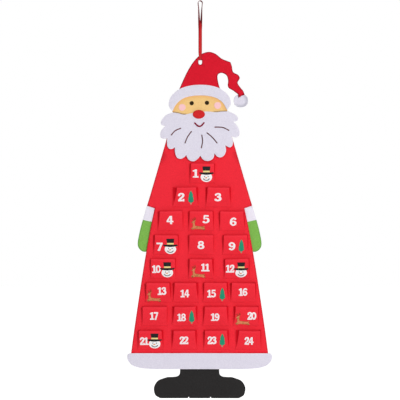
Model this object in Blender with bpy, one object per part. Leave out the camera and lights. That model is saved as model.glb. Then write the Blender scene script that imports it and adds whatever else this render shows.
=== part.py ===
"""Felt advent calendar: a long Father Christmas with 24 open pockets, hung on a satin ribbon loop.

Run with blender --background --python part.py, or from the text editor. Lengths are metres, +Z is up
and the front faces -Y. The origin is the inner top of the ribbon loop, where the nail holds it. The
figure hangs below, and the hat's felt lies midway between the ribbon's two strands.

Names that end in share or shares hold shares of the sizes that they follow. An outline is a list of
stretches from corner to corner. Each stretch is a list of points (across, down), and a smooth curve
runs through them.
"""

import math

import bmesh
import bpy
from mathutils import Vector

# Felt and fit
PANEL_THICK = 0.0030
TRIM_THICK = 0.0020
SPOT_THICK = 0.0010
CLEARANCE = 0.0003
OVERRUN = 0.0020
CURVE_STEPS = 3
ROUND_STEPS = 24
CAP_STEPS = 4
SHARP_ANGLE = math.radians(40)

# Ribbon loop
RIBBON_DROP = 0.1752
RIBBON_WIDTH = 0.0106
RIBBON_THICK = 0.0004
RIBBON_PLAY = 0.0004
LOOP_HALF_GAP = 0.0066
GATHERED_WIDTH = 0.0075
KNOT_WIDTH = 0.0090
KNOT_HEIGHT = 0.0070
KNOT_DEPTH = 0.0060
KNOT_ROUNDING = 0.0018
KNOT_RISE = 0.0027
KNOT_ENTRY = 0.0022

# Hat
HAT_WIDTH = 0.195
HAT_HEIGHT = 0.138
HOLE_WIDTH = 0.0102
HOLE_LENGTH = 0.0162
HAT_FACE_GAP = 0.0036
POMPOM_WIDTH = 0.0430
POMPOM_HEIGHT = 0.0390

# Head
BRIM_WIDTH = 0.187
BRIM_HEIGHT = 0.0785
FACE_WIDTH = 0.168
FACE_HEIGHT = 0.093
BEARD_WIDTH = 0.239
BEARD_HEIGHT = 0.150
BEARD_GAP = 0.0012
SLIT_WIDTH = 0.0022
NOSE_WIDTH = 0.0362
NOSE_HEIGHT = 0.0262
MOUTH_WIDTH = 0.0320
MOUTH_HEIGHT = 0.0155
MOUTH_STROKE = 0.0046
EYE_DIAMETER = 0.0125
CHEEK_DIAMETER = 0.0220

# Coat, arms and boots
BODY_WIDTH = 0.411
BODY_HEIGHT = 0.816
HEM_WIDTH = 0.4345
HEM_HEIGHT = 0.048
HEM_LAP = 0.0204
BOOTS_WIDTH = 0.276
BOOTS_HEIGHT = 0.1464
BOOTS_LAP = 0.0300
CUFF_WIDTH = 0.048
CUFF_HEIGHT = 0.069
MITTEN_WIDTH = 0.060
MITTEN_HEIGHT = 0.138

# Pockets
POCKET_WIDTH = 0.078
POCKET_THICK = 0.0015
POCKET_DEPTH = 0.0150
POCKET_BOW = 0.0030
POCKET_FLANGE = 0.0030
POCKET_SEAM = 0.0040
MOUTH_INSET = 0.0015
ROW_GAP = 0.0117
TOP_MARGIN = 0.0063
BOTTOM_MARGIN = 0.0096

# Where pieces sit on the hat
HOLE_ACROSS_share = 0.314
HOLE_DOWN_share = 0.161
FIGURE_ACROSS_share = 0.305
BRIM_DOWN_share = 0.717
HAT_BASE_share = 0.807
BODY_DOWN_share = 0.785
POMPOM_PLACE_shares = (0.940, 1.059)
POMPOM_SQUARENESS = 2.4

# Where the eyes and cheeks sit inside the brim, and the nose and mouth on the beard
EYE_PLACE_shares = {"eye_left": (-0.126, 0.703), "eye_right": (0.118, 0.689)}
CHEEK_PLACE_shares = {"cheek_left": (-0.280, 0.864), "cheek_right": (0.288, 0.791)}
NOSE_PLACE_shares = (-0.010, 0.061)
MOUTH_PLACE_shares = (-0.003, 0.216)

# Centres of the pockets in each row, from the top row down, in pocket widths from the figure's middle line
POCKET_ROW_shares = (
    (0.11,),
    (-0.54, 0.72),
    (-1.12, 0.06, 1.25),
    (-1.29, 0.06, 1.38),
    (-1.40, 0.06, 1.43),
    (-1.59, -0.53, 0.62, 1.68),
    (-1.73, -0.57, 0.62, 1.79),
    (-1.88, -0.59, 0.64, 1.88),
)
# How far the front leans out, from the seam (0) to the mouth (1), at shares of the height over the seam
POCKET_LEAN_shares = ((0.0, 0.0), (0.45, 0.55), (1.0, 1.0))
POCKET_BOW_shares = (0.0, 0.75, 1.0, 0.75, 0.0)

# A ribbon strand from the loop's top down: depth as a share of the drop, spread from the strands' least
# gap (0) to the loop's gap (1), and turn in degrees from edge-on (0) to face-on (90)
STRAND_STATION_shares = (
    (0.036, 1.00, 12),
    (0.085, 0.82, 14),
    (0.130, 0.64, 16),
    (0.233, 0.49, 22),
    (0.336, 0.36, 32),
    (0.385, 0.15, 52),
    (0.430, 0.04, 72),
    (0.475, 0.00, 85),
    (0.520, 0.00, 90),
    (0.685, 0.00, 90),
    (0.856, 0.00, 90),
)
# How the front strand narrows and cups on its way to the hat's hole: depth, then how far it is gathered
FRONT_END_shares = ((0.910, 0.30), (0.955, 0.65), (1.000, 1.00))
LOOP_STEPS = 10
SADDLE_STEPS = 8
RIBBON_ACROSS_STEPS = 4

HAT_shares = (
    ((-0.037, 0.915), (-0.004, 0.798), (0.097, 0.480), (0.196, 0.243), (0.292, 0.091), (0.362, 0.028),
     (0.454, 0.000), (0.548, 0.042), (0.640, 0.143), (0.708, 0.186), (0.780, 0.223)),
    ((0.780, 0.223), (0.802, 0.317), (0.820, 0.437), (0.897, 0.500), (0.922, 0.576), (0.889, 0.667),
     (0.925, 0.763), (0.974, 0.846), (0.998, 0.933)),
    ((0.998, 0.933), (0.948, 0.957), (0.903, 1.000)),
    ((0.903, 1.000), (0.897, 0.922)),
    ((0.897, 0.922), (0.817, 0.839), (0.742, 0.763), (0.743, 0.622), (0.718, 0.510), (0.640, 0.457),
     (0.585, 0.500), (0.584, 0.611), (0.613, 0.776), (0.655, 0.904)),
    ((0.655, 0.904), (0.525, 0.850), (0.309, HAT_BASE_share), (0.094, 0.850), (-0.037, 0.915)),
)
BRIM_shares = (
    ((-0.441, 0.994), (-0.485, 0.863), (-0.494, 0.683), (-0.450, 0.422), (-0.320, 0.163), (-0.155, 0.034),
     (0.010, 0.000), (0.171, 0.030), (0.326, 0.146), (0.454, 0.394), (0.501, 0.701), (0.443, 0.960)),
    ((0.443, 0.960), (0.434, 0.941)),
    ((0.434, 0.941), (0.366, 0.671), (0.230, 0.474), (0.005, 0.405), (-0.235, 0.495), (-0.372, 0.739),
     (-0.429, 0.998)),
    ((-0.429, 0.998), (-0.441, 0.994)),
)
FACE_shares = (
    ((-0.487, 0.697), (-0.489, 0.510), (-0.396, 0.239), (-0.208, 0.068), (0.006, 0.000), (0.211, 0.068),
     (0.399, 0.232), (0.493, 0.461), (0.495, 0.668)),
    ((0.495, 0.668), (0.417, 0.800), (0.220, 0.948), (0.006, 1.000), (-0.208, 0.948), (-0.405, 0.813),
     (-0.487, 0.697)),
)
BEARD_shares = (
    ((-0.330, 0.024), (-0.266, 0.038), (-0.195, 0.064), (-0.086, 0.032), (0.076, 0.002), (0.201, 0.016),
     (0.268, 0.006), (0.354, 0.000)),
    ((0.354, 0.000), (0.438, 0.054), (0.482, 0.134), (0.472, 0.188), (0.426, 0.206)),
    ((0.426, 0.206), (0.472, 0.294), (0.500, 0.394), (0.494, 0.486), (0.452, 0.520), (0.401, 0.500)),
    ((0.401, 0.500), (0.417, 0.594), (0.410, 0.684), (0.376, 0.720), (0.322, 0.678)),
    ((0.322, 0.678), (0.331, 0.782), (0.310, 0.874), (0.265, 0.920), (0.218, 0.900), (0.187, 0.836)),
    ((0.187, 0.836), (0.172, 0.934), (0.125, 0.988), (0.074, 0.988), (0.036, 0.952), (0.009, 0.884)),
    ((0.009, 0.884), (-0.021, 0.946), (-0.067, 0.996), (-0.116, 0.988), (-0.150, 0.942), (-0.168, 0.872)),
    ((-0.168, 0.872), (-0.197, 0.922), (-0.239, 0.950), (-0.284, 0.922), (-0.307, 0.832), (-0.312, 0.718)),
    ((-0.312, 0.718), (-0.342, 0.750), (-0.380, 0.748), (-0.404, 0.696), (-0.409, 0.614), (-0.406, 0.540)),
    ((-0.406, 0.540), (-0.450, 0.548), (-0.485, 0.526), (-0.495, 0.458), (-0.478, 0.374), (-0.431, 0.288)),
    ((-0.431, 0.288), (-0.475, 0.272), (-0.487, 0.222), (-0.459, 0.134), (-0.403, 0.058), (-0.330, 0.024)),
)

# Middle lines of the slits cut in the beard
SLIT_shares = (
    ((-0.355, 0.472), (-0.308, 0.390), (-0.237, 0.338)),
    ((-0.183, 0.632), (-0.150, 0.506), (-0.103, 0.402)),
    ((0.027, 0.476), (0.036, 0.598), (0.022, 0.730)),
    ((0.092, 0.430), (0.160, 0.522), (0.218, 0.632)),
    ((0.192, 0.316), (0.289, 0.322), (0.366, 0.380)),
)

# Right halves, from the middle of the top edge to the middle of the bottom edge
SLEEVE_CORNER_shares = (0.384, 0.433)
BODY_HALF_shares = (
    ((0.000, 0.000), (0.109, 0.000)),
    ((0.109, 0.000), (0.139, 0.018), (0.165, 0.044), (0.184, 0.088)),
    ((0.184, 0.088), (0.239, 0.184)),
    ((0.239, 0.184), SLEEVE_CORNER_shares),
    (SLEEVE_CORNER_shares, (0.327, 0.442)),
    ((0.327, 0.442), (0.354, 0.504), (0.394, 0.614), (0.435, 0.743), (0.478, 0.890), (0.500, 0.974)),
    ((0.500, 0.974), (0.500, 1.000)),
    ((0.500, 1.000), (0.000, 1.000)),
)
HEM_HALF_shares = (
    ((0.000, 0.000), (0.481, 0.000)),
    ((0.481, 0.000), (0.496, 0.062), (0.500, 0.262), (0.490, 0.538), (0.457, 0.790), (0.399, 0.935),
     (0.300, 1.000)),
    ((0.300, 1.000), (0.000, 1.000)),
)
BOOTS_HALF_shares = (
    ((0.000, 0.000), (0.214, 0.000)),
    ((0.214, 0.000), (0.214, 0.421)),
    ((0.214, 0.421), (0.219, 0.506), (0.254, 0.554), (0.353, 0.566)),
    ((0.353, 0.566), (0.447, 0.630), (0.488, 0.724), (0.499, 0.822), (0.481, 0.938), (0.427, 1.000)),
    ((0.427, 1.000), (0.130, 1.000)),
    ((0.130, 1.000), (0.120, 0.969)),
    ((0.120, 0.969), (0.109, 1.000)),
    ((0.109, 1.000), (0.000, 1.000)),
)

# Right arm, from the sleeve's outer corner
CUFF_shares = (
    ((-0.081, -0.217), (0.275, 0.613)),
    ((0.275, 0.613), (-0.675, 0.761)),
    ((-0.675, 0.761), (-0.831, -0.143)),
    ((-0.831, -0.143), (-0.081, -0.217)),
)
MITTEN_shares = (
    ((0.110, 0.200), (0.222, 0.315), (0.365, 0.548), (0.475, 0.809), (0.405, 0.933), (0.200, 1.000),
     (-0.040, 0.989), (-0.275, 0.896), (-0.440, 0.657), (-0.515, 0.396), (-0.490, 0.200)),
    ((-0.490, 0.200), (0.110, 0.200)),
)

# Middle line of the mouth's stroke
MOUTH_LINE_shares = (
    (-0.43, 0.18), (-0.30, 0.47), (-0.14, 0.72), (0.02, 0.83), (0.17, 0.71), (0.31, 0.44), (0.43, 0.15),
)

COLOURS = {
    "coat_felt": (0.86, 0.03, 0.05),
    "hat_felt": (0.72, 0.012, 0.03),
    "white_felt": (0.74, 0.73, 0.83),
    "skin_felt": (0.95, 0.62, 0.24),
    "blush_felt": (0.95, 0.50, 0.53),
    "nose_felt": (0.66, 0.02, 0.035),
    "mouth_felt": (0.38, 0.025, 0.05),
    "black_felt": (0.022, 0.020, 0.021),
    "mitten_felt": (0.19, 0.52, 0.08),
    "ribbon_satin": (0.50, 0.02, 0.03),
}
FELT_ROUGHNESS = 0.95
SATIN_ROUGHNESS = 0.35

# Places that follow from the sizes. Front faces of the layers, from the wall's side to the room's side.
HAT_FRONT = -PANEL_THICK / 2
HAT_BACK = HAT_FRONT + PANEL_THICK
BODY_FRONT = HAT_BACK + CLEARANCE
BODY_BACK = BODY_FRONT + PANEL_THICK
TRIM_FRONT = HAT_FRONT - CLEARANCE - TRIM_THICK
HEM_FRONT = BODY_FRONT - CLEARANCE - TRIM_THICK
BEHIND_BODY = BODY_BACK + CLEARANCE
BEHIND_CUFF = BEHIND_BODY + TRIM_THICK + CLEARANCE
BEHIND_HAT = HAT_BACK + CLEARANCE

HINGE_Z = -RIBBON_DROP - HOLE_WIDTH / 2
FIGURE_X = (FIGURE_ACROSS_share - HOLE_ACROSS_share) * HAT_WIDTH
HAT_LEFT = -HOLE_ACROSS_share * HAT_WIDTH
HAT_TOP = -RIBBON_DROP + HOLE_DOWN_share * HAT_HEIGHT
BRIM_TOP = HAT_TOP - BRIM_DOWN_share * HAT_HEIGHT
FACE_TOP = HAT_TOP - HAT_BASE_share * HAT_HEIGHT - HAT_FACE_GAP
BEARD_TOP = BRIM_TOP - BRIM_HEIGHT - BEARD_GAP
BODY_TOP = HAT_TOP - BODY_DOWN_share * HAT_HEIGHT
HEM_TOP = BODY_TOP - BODY_HEIGHT + HEM_LAP
BOOTS_TOP = BODY_TOP - BODY_HEIGHT + BOOTS_LAP

POCKETS_TOP = BEARD_TOP - BEARD_HEIGHT - TOP_MARGIN
ROW_PITCH = (POCKETS_TOP - HEM_TOP - BOTTOM_MARGIN + ROW_GAP) / len(POCKET_ROW_shares)
POCKET_HEIGHT = ROW_PITCH - ROW_GAP
STRAND_HALF_GAP = (PANEL_THICK + RIBBON_THICK) / 2 + RIBBON_PLAY


def clear_scene():
    for old in list(bpy.data.objects):
        bpy.data.objects.remove(old)


def surface(name):
    """The material of one kind of felt or ribbon."""
    found = bpy.data.materials.get(name)
    if found:
        return found
    made = bpy.data.materials.new(name)
    made.use_nodes = True
    shader = made.node_tree.nodes["Principled BSDF"]
    shader.inputs["Base Color"].default_value = (*COLOURS[name], 1)
    shader.inputs["Roughness"].default_value = SATIN_ROUGHNESS if name == "ribbon_satin" else FELT_ROUGHNESS
    shader.inputs["Metallic"].default_value = 0
    made.diffuse_color = (*COLOURS[name], 1)
    return made


def add_object(name, bm, material, place, parent=None):
    """Turns the bmesh into a named object at a place in the world, under its parent."""
    bmesh.ops.recalc_face_normals(bm, faces=bm.faces)
    mesh = bpy.data.meshes.new(name)
    bm.to_mesh(mesh)
    bm.free()
    mesh.shade_smooth()
    mesh.set_sharp_from_angle(angle=SHARP_ANGLE)
    mesh.materials.append(surface(material))
    return add_copy(name, mesh, place, parent)


def add_copy(name, mesh, place, parent):
    made = bpy.data.objects.new(name, mesh)
    bpy.context.scene.collection.objects.link(made)
    made.parent = parent
    made.location = Vector(place) - (parent.location if parent else Vector())
    return made


# Outlines

def smooth_stretch(points):
    """Points on a smooth curve through the given ones, without the last, which starts the next stretch."""
    if len(points) == 2:
        return [points[0]]
    found = []
    for i in range(len(points) - 1):
        before, start, end = points[max(i - 1, 0)], points[i], points[i + 1]
        after = points[min(i + 2, len(points) - 1)]
        for step in range(CURVE_STEPS):
            t = step / CURVE_STEPS
            found.append(tuple(catmull_rom(t, *values) for values in zip(before, start, end, after)))
    return found


def catmull_rom(t, before, start, end, after):
    slope = end - before
    bend = 2 * before - 5 * start + 4 * end - after
    twist = 3 * start - before - 3 * end + after
    return (2 * start + slope * t + bend * t**2 + twist * t**3) / 2


def outline(stretches, width, height, mirror=1):
    """Closed outline in metres, as (across, up)."""
    shares = [point for stretch in stretches for point in smooth_stretch(stretch)]
    return [(mirror * across * width, -down * height) for across, down in shares]


def whole_outline(half, width, height):
    """Closed outline from its right half."""
    right = outline(half, width, height) + [(0, -height)]
    left = [(-across, up) for across, up in reversed(right[1:-1])]
    return right + left


def round_outline(width, height, squareness=2):
    """An oval, or with a larger squareness an oval with fuller corners."""
    found = []
    for step in range(ROUND_STEPS):
        angle = math.tau * step / ROUND_STEPS
        across = math.copysign(abs(math.cos(angle)) ** (2 / squareness), math.cos(angle))
        up = math.copysign(abs(math.sin(angle)) ** (2 / squareness), math.sin(angle))
        found.append((across * width / 2, up * height / 2))
    return found


def stroke_outline(line, width, height, stroke):
    """Outline of a stroke with round ends along a line of shares."""
    shares = smooth_stretch(line) + [line[-1]]
    middle = [Vector((across * width, -down * height)) for across, down in shares]
    left, right = [], []
    for i, point in enumerate(middle):
        along = (middle[min(i + 1, len(middle) - 1)] - middle[max(i - 1, 0)]).normalized()
        side = Vector((-along.y, along.x)) * stroke / 2
        left.append(point + side)
        right.append(point - side)
    return (
        left
        + round_cap(middle[-1], left[-1] - middle[-1])
        + right[::-1]
        + round_cap(middle[0], right[0] - middle[0])
    )


def round_cap(centre, start):
    """Points of a half circle round the centre, clockwise from the start, without its two ends."""
    found = []
    for step in range(1, CAP_STEPS):
        angle = -math.pi * step / CAP_STEPS
        turned = Vector((
            start.x * math.cos(angle) - start.y * math.sin(angle),
            start.x * math.sin(angle) + start.y * math.cos(angle),
        ))
        found.append(centre + turned)
    return found


def cut_sheet(points, thick):
    """A flat sheet cut to the outline, from its front at Y = 0 to its back."""
    bm = bmesh.new()
    front = bm.faces.new([bm.verts.new((across, 0, up)) for across, up in points])
    back = bmesh.ops.extrude_face_region(bm, geom=[front])["geom"]
    moved = [item for item in back if isinstance(item, bmesh.types.BMVert)]
    bmesh.ops.translate(bm, verts=moved, vec=(0, thick, 0))
    return bm


def cut_felt(name, points, thick, material, place, parent):
    return add_object(name, cut_sheet(points, thick), material, place, parent)


def cut_through(piece, name, points, thick):
    """Cuts an outline right through a felt piece. The outline is placed as the piece's own is."""
    place = piece.matrix_basis.translation + piece.parent.location - Vector((0, OVERRUN, 0))
    cutter = cut_felt(name, points, thick + 2 * OVERRUN, piece.data.materials[0].name, place, piece.parent)
    cutter.hide_render = True
    cutter.display_type = "WIRE"
    cut = piece.modifiers.new(name, "BOOLEAN")
    cut.operation = "DIFFERENCE"
    cut.solver = "EXACT"
    cut.object = cutter


# Head

def make_hat(pivot):
    """The hat, with the slot that the ribbon runs through, round at both ends."""
    place = (HAT_LEFT, HAT_FRONT, HAT_TOP)
    hat = cut_felt("hat", outline(HAT_shares, HAT_WIDTH, HAT_HEIGHT), PANEL_THICK, "hat_felt", place, pivot)

    radius = HOLE_WIDTH / 2
    straight = HOLE_LENGTH - HOLE_WIDTH
    slot = []
    for step in range(ROUND_STEPS):
        angle = math.tau * (step + 0.5) / ROUND_STEPS
        drop = 0 if math.sin(angle) > 0 else straight
        across = radius * math.cos(angle) - HAT_LEFT
        slot.append((across, radius * math.sin(angle) - drop + HINGE_Z - HAT_TOP))
    cut_through(hat, "ribbon_hole", slot, PANEL_THICK)


def make_pompom(pivot):
    across, down = POMPOM_PLACE_shares
    place = (HAT_LEFT + across * HAT_WIDTH, BEHIND_HAT, HAT_TOP - down * HAT_HEIGHT)
    points = round_outline(POMPOM_WIDTH, POMPOM_HEIGHT, POMPOM_SQUARENESS)
    cut_felt("pompom", points, TRIM_THICK, "white_felt", place, pivot)


def make_head(pivot):
    """Brim, face and beard, then the small pieces glued on them."""
    brim = outline(BRIM_shares, BRIM_WIDTH, BRIM_HEIGHT)
    cut_felt("hat_brim", brim, TRIM_THICK, "white_felt", (FIGURE_X, TRIM_FRONT, BRIM_TOP), pivot)
    face = outline(FACE_shares, FACE_WIDTH, FACE_HEIGHT)
    cut_felt("face", face, PANEL_THICK, "skin_felt", (FIGURE_X, HAT_FRONT, FACE_TOP), pivot)
    beard = outline(BEARD_shares, BEARD_WIDTH, BEARD_HEIGHT)
    place = (FIGURE_X, TRIM_FRONT, BEARD_TOP)
    beard = cut_felt("beard", beard, TRIM_THICK, "white_felt", place, pivot)
    for number, line in enumerate(SLIT_shares, 1):
        slit = stroke_outline(line, BEARD_WIDTH, BEARD_HEIGHT, SLIT_WIDTH)
        cut_through(beard, f"beard_slit_{number}", slit, TRIM_THICK)

    spot_front = HAT_FRONT - CLEARANCE - SPOT_THICK
    spots = (
        (EYE_PLACE_shares, EYE_DIAMETER, "black_felt"),
        (CHEEK_PLACE_shares, CHEEK_DIAMETER, "blush_felt"),
    )
    for places, diameter, material in spots:
        for name, (across, down) in places.items():
            place = (FIGURE_X + across * BRIM_WIDTH, spot_front, BRIM_TOP - down * BRIM_HEIGHT)
            cut_felt(name, round_outline(diameter, diameter), SPOT_THICK, material, place, pivot)

    across, down = NOSE_PLACE_shares
    nose_front = TRIM_FRONT - CLEARANCE - TRIM_THICK
    place = (FIGURE_X + across * BEARD_WIDTH, nose_front, BEARD_TOP - down * BEARD_HEIGHT)
    cut_felt("nose", round_outline(NOSE_WIDTH, NOSE_HEIGHT), TRIM_THICK, "nose_felt", place, pivot)

    across, down = MOUTH_PLACE_shares
    mouth_front = TRIM_FRONT - CLEARANCE - SPOT_THICK
    place = (FIGURE_X + across * BEARD_WIDTH, mouth_front, BEARD_TOP - down * BEARD_HEIGHT)
    mouth = stroke_outline(MOUTH_LINE_shares, MOUTH_WIDTH, MOUTH_HEIGHT, MOUTH_STROKE)
    cut_felt("mouth", mouth, SPOT_THICK, "mouth_felt", place, pivot)


# Coat, arms and boots

def make_coat(pivot):
    body = whole_outline(BODY_HALF_shares, BODY_WIDTH, BODY_HEIGHT)
    cut_felt("body_panel", body, PANEL_THICK, "coat_felt", (FIGURE_X, BODY_FRONT, BODY_TOP), pivot)
    hem = whole_outline(HEM_HALF_shares, HEM_WIDTH, HEM_HEIGHT)
    cut_felt("hem_trim", hem, TRIM_THICK, "white_felt", (FIGURE_X, HEM_FRONT, HEM_TOP), pivot)
    boots = whole_outline(BOOTS_HALF_shares, BOOTS_WIDTH, BOOTS_HEIGHT)
    cut_felt("boots", boots, PANEL_THICK, "black_felt", (FIGURE_X, BEHIND_BODY, BOOTS_TOP), pivot)


def make_arms(pivot):
    """A cuff and a mitten behind each sleeve, set from the sleeve's outer corner."""
    across, down = SLEEVE_CORNER_shares
    for side, mirror in (("left", -1), ("right", 1)):
        corner_x = FIGURE_X + mirror * across * BODY_WIDTH
        corner_z = BODY_TOP - down * BODY_HEIGHT
        cuff = outline(CUFF_shares, CUFF_WIDTH, CUFF_HEIGHT, mirror)
        place = (corner_x, BEHIND_BODY, corner_z)
        cut_felt(f"cuff_{side}", cuff, TRIM_THICK, "white_felt", place, pivot)
        mitten = outline(MITTEN_shares, MITTEN_WIDTH, MITTEN_HEIGHT, mirror)
        place = (corner_x, BEHIND_CUFF, corner_z)
        cut_felt(f"mitten_{side}", mitten, TRIM_THICK, "mitten_felt", place, pivot)


# Pockets

def pocket_level(up, lean):
    """Outer and inner edge of the pocket's wall at one height, from left to right round the front."""
    flange = POCKET_WIDTH / 2 - POCKET_FLANGE
    front = flange - POCKET_THICK - lean * MOUTH_INSET
    depth = POCKET_THICK + lean * (POCKET_DEPTH - POCKET_THICK)
    steps = len(POCKET_BOW_shares) - 1
    outer, inner = [], []
    for step, bow in enumerate(POCKET_BOW_shares):
        across = 2 * step / steps - 1
        bulge = lean * bow * POCKET_BOW
        outer.append((across * front, -depth - bulge, up))
        inner.append((across * (front - POCKET_THICK), POCKET_THICK - depth - bulge, up))
    edge = POCKET_WIDTH / 2
    left = [(-edge, 0, up), (-edge, -POCKET_THICK, up), (-flange, -POCKET_THICK, up)]
    right = [(-across, out, height) for across, out, height in reversed(left)]
    foot = flange - POCKET_THICK
    return left + outer + right, [(-foot, 0, up)] + inner + [(foot, 0, up)]


def pocket_body():
    """A sewn pocket: flat at the seam and the side flanges, its front leaning out to an open mouth."""
    rows = [pocket_level(0, 0)]
    for height_share, lean in POCKET_LEAN_shares:
        rows.append(pocket_level(POCKET_SEAM + height_share * (POCKET_HEIGHT - POCKET_SEAM), lean))
    bm = bmesh.new()
    outer = [[bm.verts.new(point) for point in row[0]] for row in rows]
    inner = [[bm.verts.new(point) for point in row[1]] for row in rows]
    for low in range(len(rows) - 1):
        for edge in (outer, inner):
            for i in range(len(edge[low]) - 1):
                bm.faces.new((edge[low][i], edge[low][i + 1], edge[low + 1][i + 1], edge[low + 1][i]))
        for end in (0, -1):
            bm.faces.new((outer[low][end], inner[low][end], inner[low + 1][end], outer[low + 1][end]))
    for level in (0, -1):
        out, back = outer[level], inner[level]
        bm.faces.new((out[0], out[1], out[2], back[0]))
        bm.faces.new((out[-1], out[-2], out[-3], back[-1]))
        for i in range(len(back) - 1):
            bm.faces.new((out[i + 2], out[i + 3], back[i + 1], back[i]))
    return bm


def make_pockets(pivot):
    """24 pockets numbered along the rows. They share one mesh."""
    number = 0
    mesh = None
    for row, centres in enumerate(POCKET_ROW_shares):
        bottom = POCKETS_TOP - row * ROW_PITCH - POCKET_HEIGHT
        for centre in centres:
            number += 1
            name = f"pocket_{number:02d}"
            place = (FIGURE_X + centre * POCKET_WIDTH, BODY_FRONT - CLEARANCE, bottom)
            if mesh is None:
                mesh = add_object(name, pocket_body(), "coat_felt", place, pivot).data
            else:
                add_copy(name, mesh, place, pivot)


# Ribbon

def strand_point(depth, spread, turn, side):
    """A point of one strand. side is 1 for the strand that ends behind the hat, and -1 in front."""
    gap = STRAND_HALF_GAP + spread * (LOOP_HALF_GAP - STRAND_HALF_GAP)
    angle = math.radians(turn)
    return Vector((side * gap * math.cos(angle), side * gap * math.sin(angle), -depth * RIBBON_DROP))


def ribbon_route():
    """Stations (point, turn, gather, cup) from the knot through the hole, up the front, over and down."""
    knot_bottom = -RIBBON_DROP + KNOT_RISE
    knot_top = knot_bottom + KNOT_HEIGHT
    entry = STRAND_HALF_GAP + KNOT_ENTRY
    route = [(Vector((0, entry, knot_bottom - CLEARANCE)), 90, 1, 0)]
    for step in range(SADDLE_STEPS + 1):
        angle = math.pi * step / SADDLE_STEPS
        across = STRAND_HALF_GAP * math.cos(angle)
        route.append((Vector((0, across, -RIBBON_DROP - STRAND_HALF_GAP * math.sin(angle))), 90, 1, 1))
    for depth, gather in reversed(FRONT_END_shares[:-1]):
        route.append((strand_point(depth, 0, 90, -1), 90, gather, gather))
    for depth, spread, turn in reversed(STRAND_STATION_shares):
        route.append((strand_point(depth, spread, turn, -1), turn, 0, 0))

    top_turn = STRAND_STATION_shares[0][2]
    left_top, right_top = route[-1][0], strand_point(*STRAND_STATION_shares[0], 1)
    middle = (left_top + right_top) / 2
    rise = RIBBON_THICK / 2 - middle.z
    for step in range(1, LOOP_STEPS):
        angle = math.pi * step / LOOP_STEPS
        point = middle + (left_top - middle) * math.cos(angle) + Vector((0, 0, rise * math.sin(angle)))
        route.append((point, top_turn, 0, 0))
    for depth, spread, turn in STRAND_STATION_shares:
        route.append((strand_point(depth, spread, turn, 1), turn, 0, 0))
    depth, gather = FRONT_END_shares[0]
    route.append((strand_point(depth, 0, 90, 1) + Vector((0, KNOT_ENTRY / 2, 0)), 90, gather, 0))
    route.append((Vector((0, entry, knot_top + CLEARANCE)), 90, 1, 0))
    return route


def ribbon_row(point, turn, gather, cup):
    """Points across the ribbon at a station. Where it is cupped they bend round the hinge line below."""
    half = (RIBBON_WIDTH + gather * (GATHERED_WIDTH - RIBBON_WIDTH)) / 2
    angle = math.radians(turn)
    across = Vector((-math.sin(angle), math.cos(angle), 0))
    radius = point.z - HINGE_Z
    found = []
    for step in range(RIBBON_ACROSS_STEPS + 1):
        offset = half * (2 * step / RIBBON_ACROSS_STEPS - 1)
        bent = radius * math.sin(offset / radius)
        sag = radius * (1 - math.cos(offset / radius))
        found.append(point + across * (offset + cup * (bent - offset)) - Vector((0, 0, cup * sag)))
    return found


def make_ribbon():
    """One flat strip of satin with its thickness, closed at both ends."""
    rows = [ribbon_row(*station) for station in ribbon_route()]
    last = len(rows) - 1
    width = len(rows[0]) - 1
    bm = bmesh.new()
    sheets = ([], [])
    for i, row in enumerate(rows):
        for sheet in sheets:
            sheet.append([])
        for j, point in enumerate(row):
            along = rows[min(i + 1, last)][j] - rows[max(i - 1, 0)][j]
            over = row[min(j + 1, width)] - row[max(j - 1, 0)]
            normal = along.cross(over).normalized() * RIBBON_THICK / 2
            sheets[0][i].append(bm.verts.new(point + normal))
            sheets[1][i].append(bm.verts.new(point - normal))
    first, second = sheets
    for i in range(last):
        for j in range(width):
            for sheet in sheets:
                bm.faces.new((sheet[i][j], sheet[i][j + 1], sheet[i + 1][j + 1], sheet[i + 1][j]))
        for j in (0, width):
            bm.faces.new((first[i][j], first[i + 1][j], second[i + 1][j], second[i][j]))
    for i in (0, last):
        for j in range(width):
            bm.faces.new((first[i][j], first[i][j + 1], second[i][j + 1], second[i][j]))
    add_object("ribbon_loop", bm, "ribbon_satin", (0, 0, 0))


def make_knot():
    """The pulled-tight join of the ribbon's ends, behind the hat above the hole."""
    bm = bmesh.new()
    bmesh.ops.create_cube(bm, size=1)
    bmesh.ops.scale(bm, vec=(KNOT_WIDTH, KNOT_DEPTH, KNOT_HEIGHT), verts=bm.verts)
    bmesh.ops.bevel(
        bm, geom=bm.edges[:], offset=KNOT_ROUNDING, segments=2, profile=0.5, affect="EDGES"
    )
    place = (0, BEHIND_HAT + KNOT_DEPTH / 2, -RIBBON_DROP + KNOT_RISE + KNOT_HEIGHT / 2)
    add_object("ribbon_knot", bm, "ribbon_satin", place)


def main():
    clear_scene()
    make_ribbon()
    make_knot()
    pivot = bpy.data.objects.new("calendar_pivot", None)
    pivot.location = (0, 0, HINGE_Z)
    bpy.context.scene.collection.objects.link(pivot)
    make_hat(pivot)
    make_pompom(pivot)
    make_head(pivot)
    make_coat(pivot)
    make_arms(pivot)
    make_pockets(pivot)


main()
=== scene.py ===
"""Looks of the felt advent calendar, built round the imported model.

Lengths are metres in the model's own frame: +Z up, front towards -Y, the origin at the inner top of the
ribbon loop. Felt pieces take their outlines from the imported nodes, get soft cut edges and fibres, and keep
their places.
"""

import math

import bpy
import numpy as np
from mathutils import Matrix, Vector, geometry, noise
from mathutils.bvhtree import BVHTree


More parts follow.
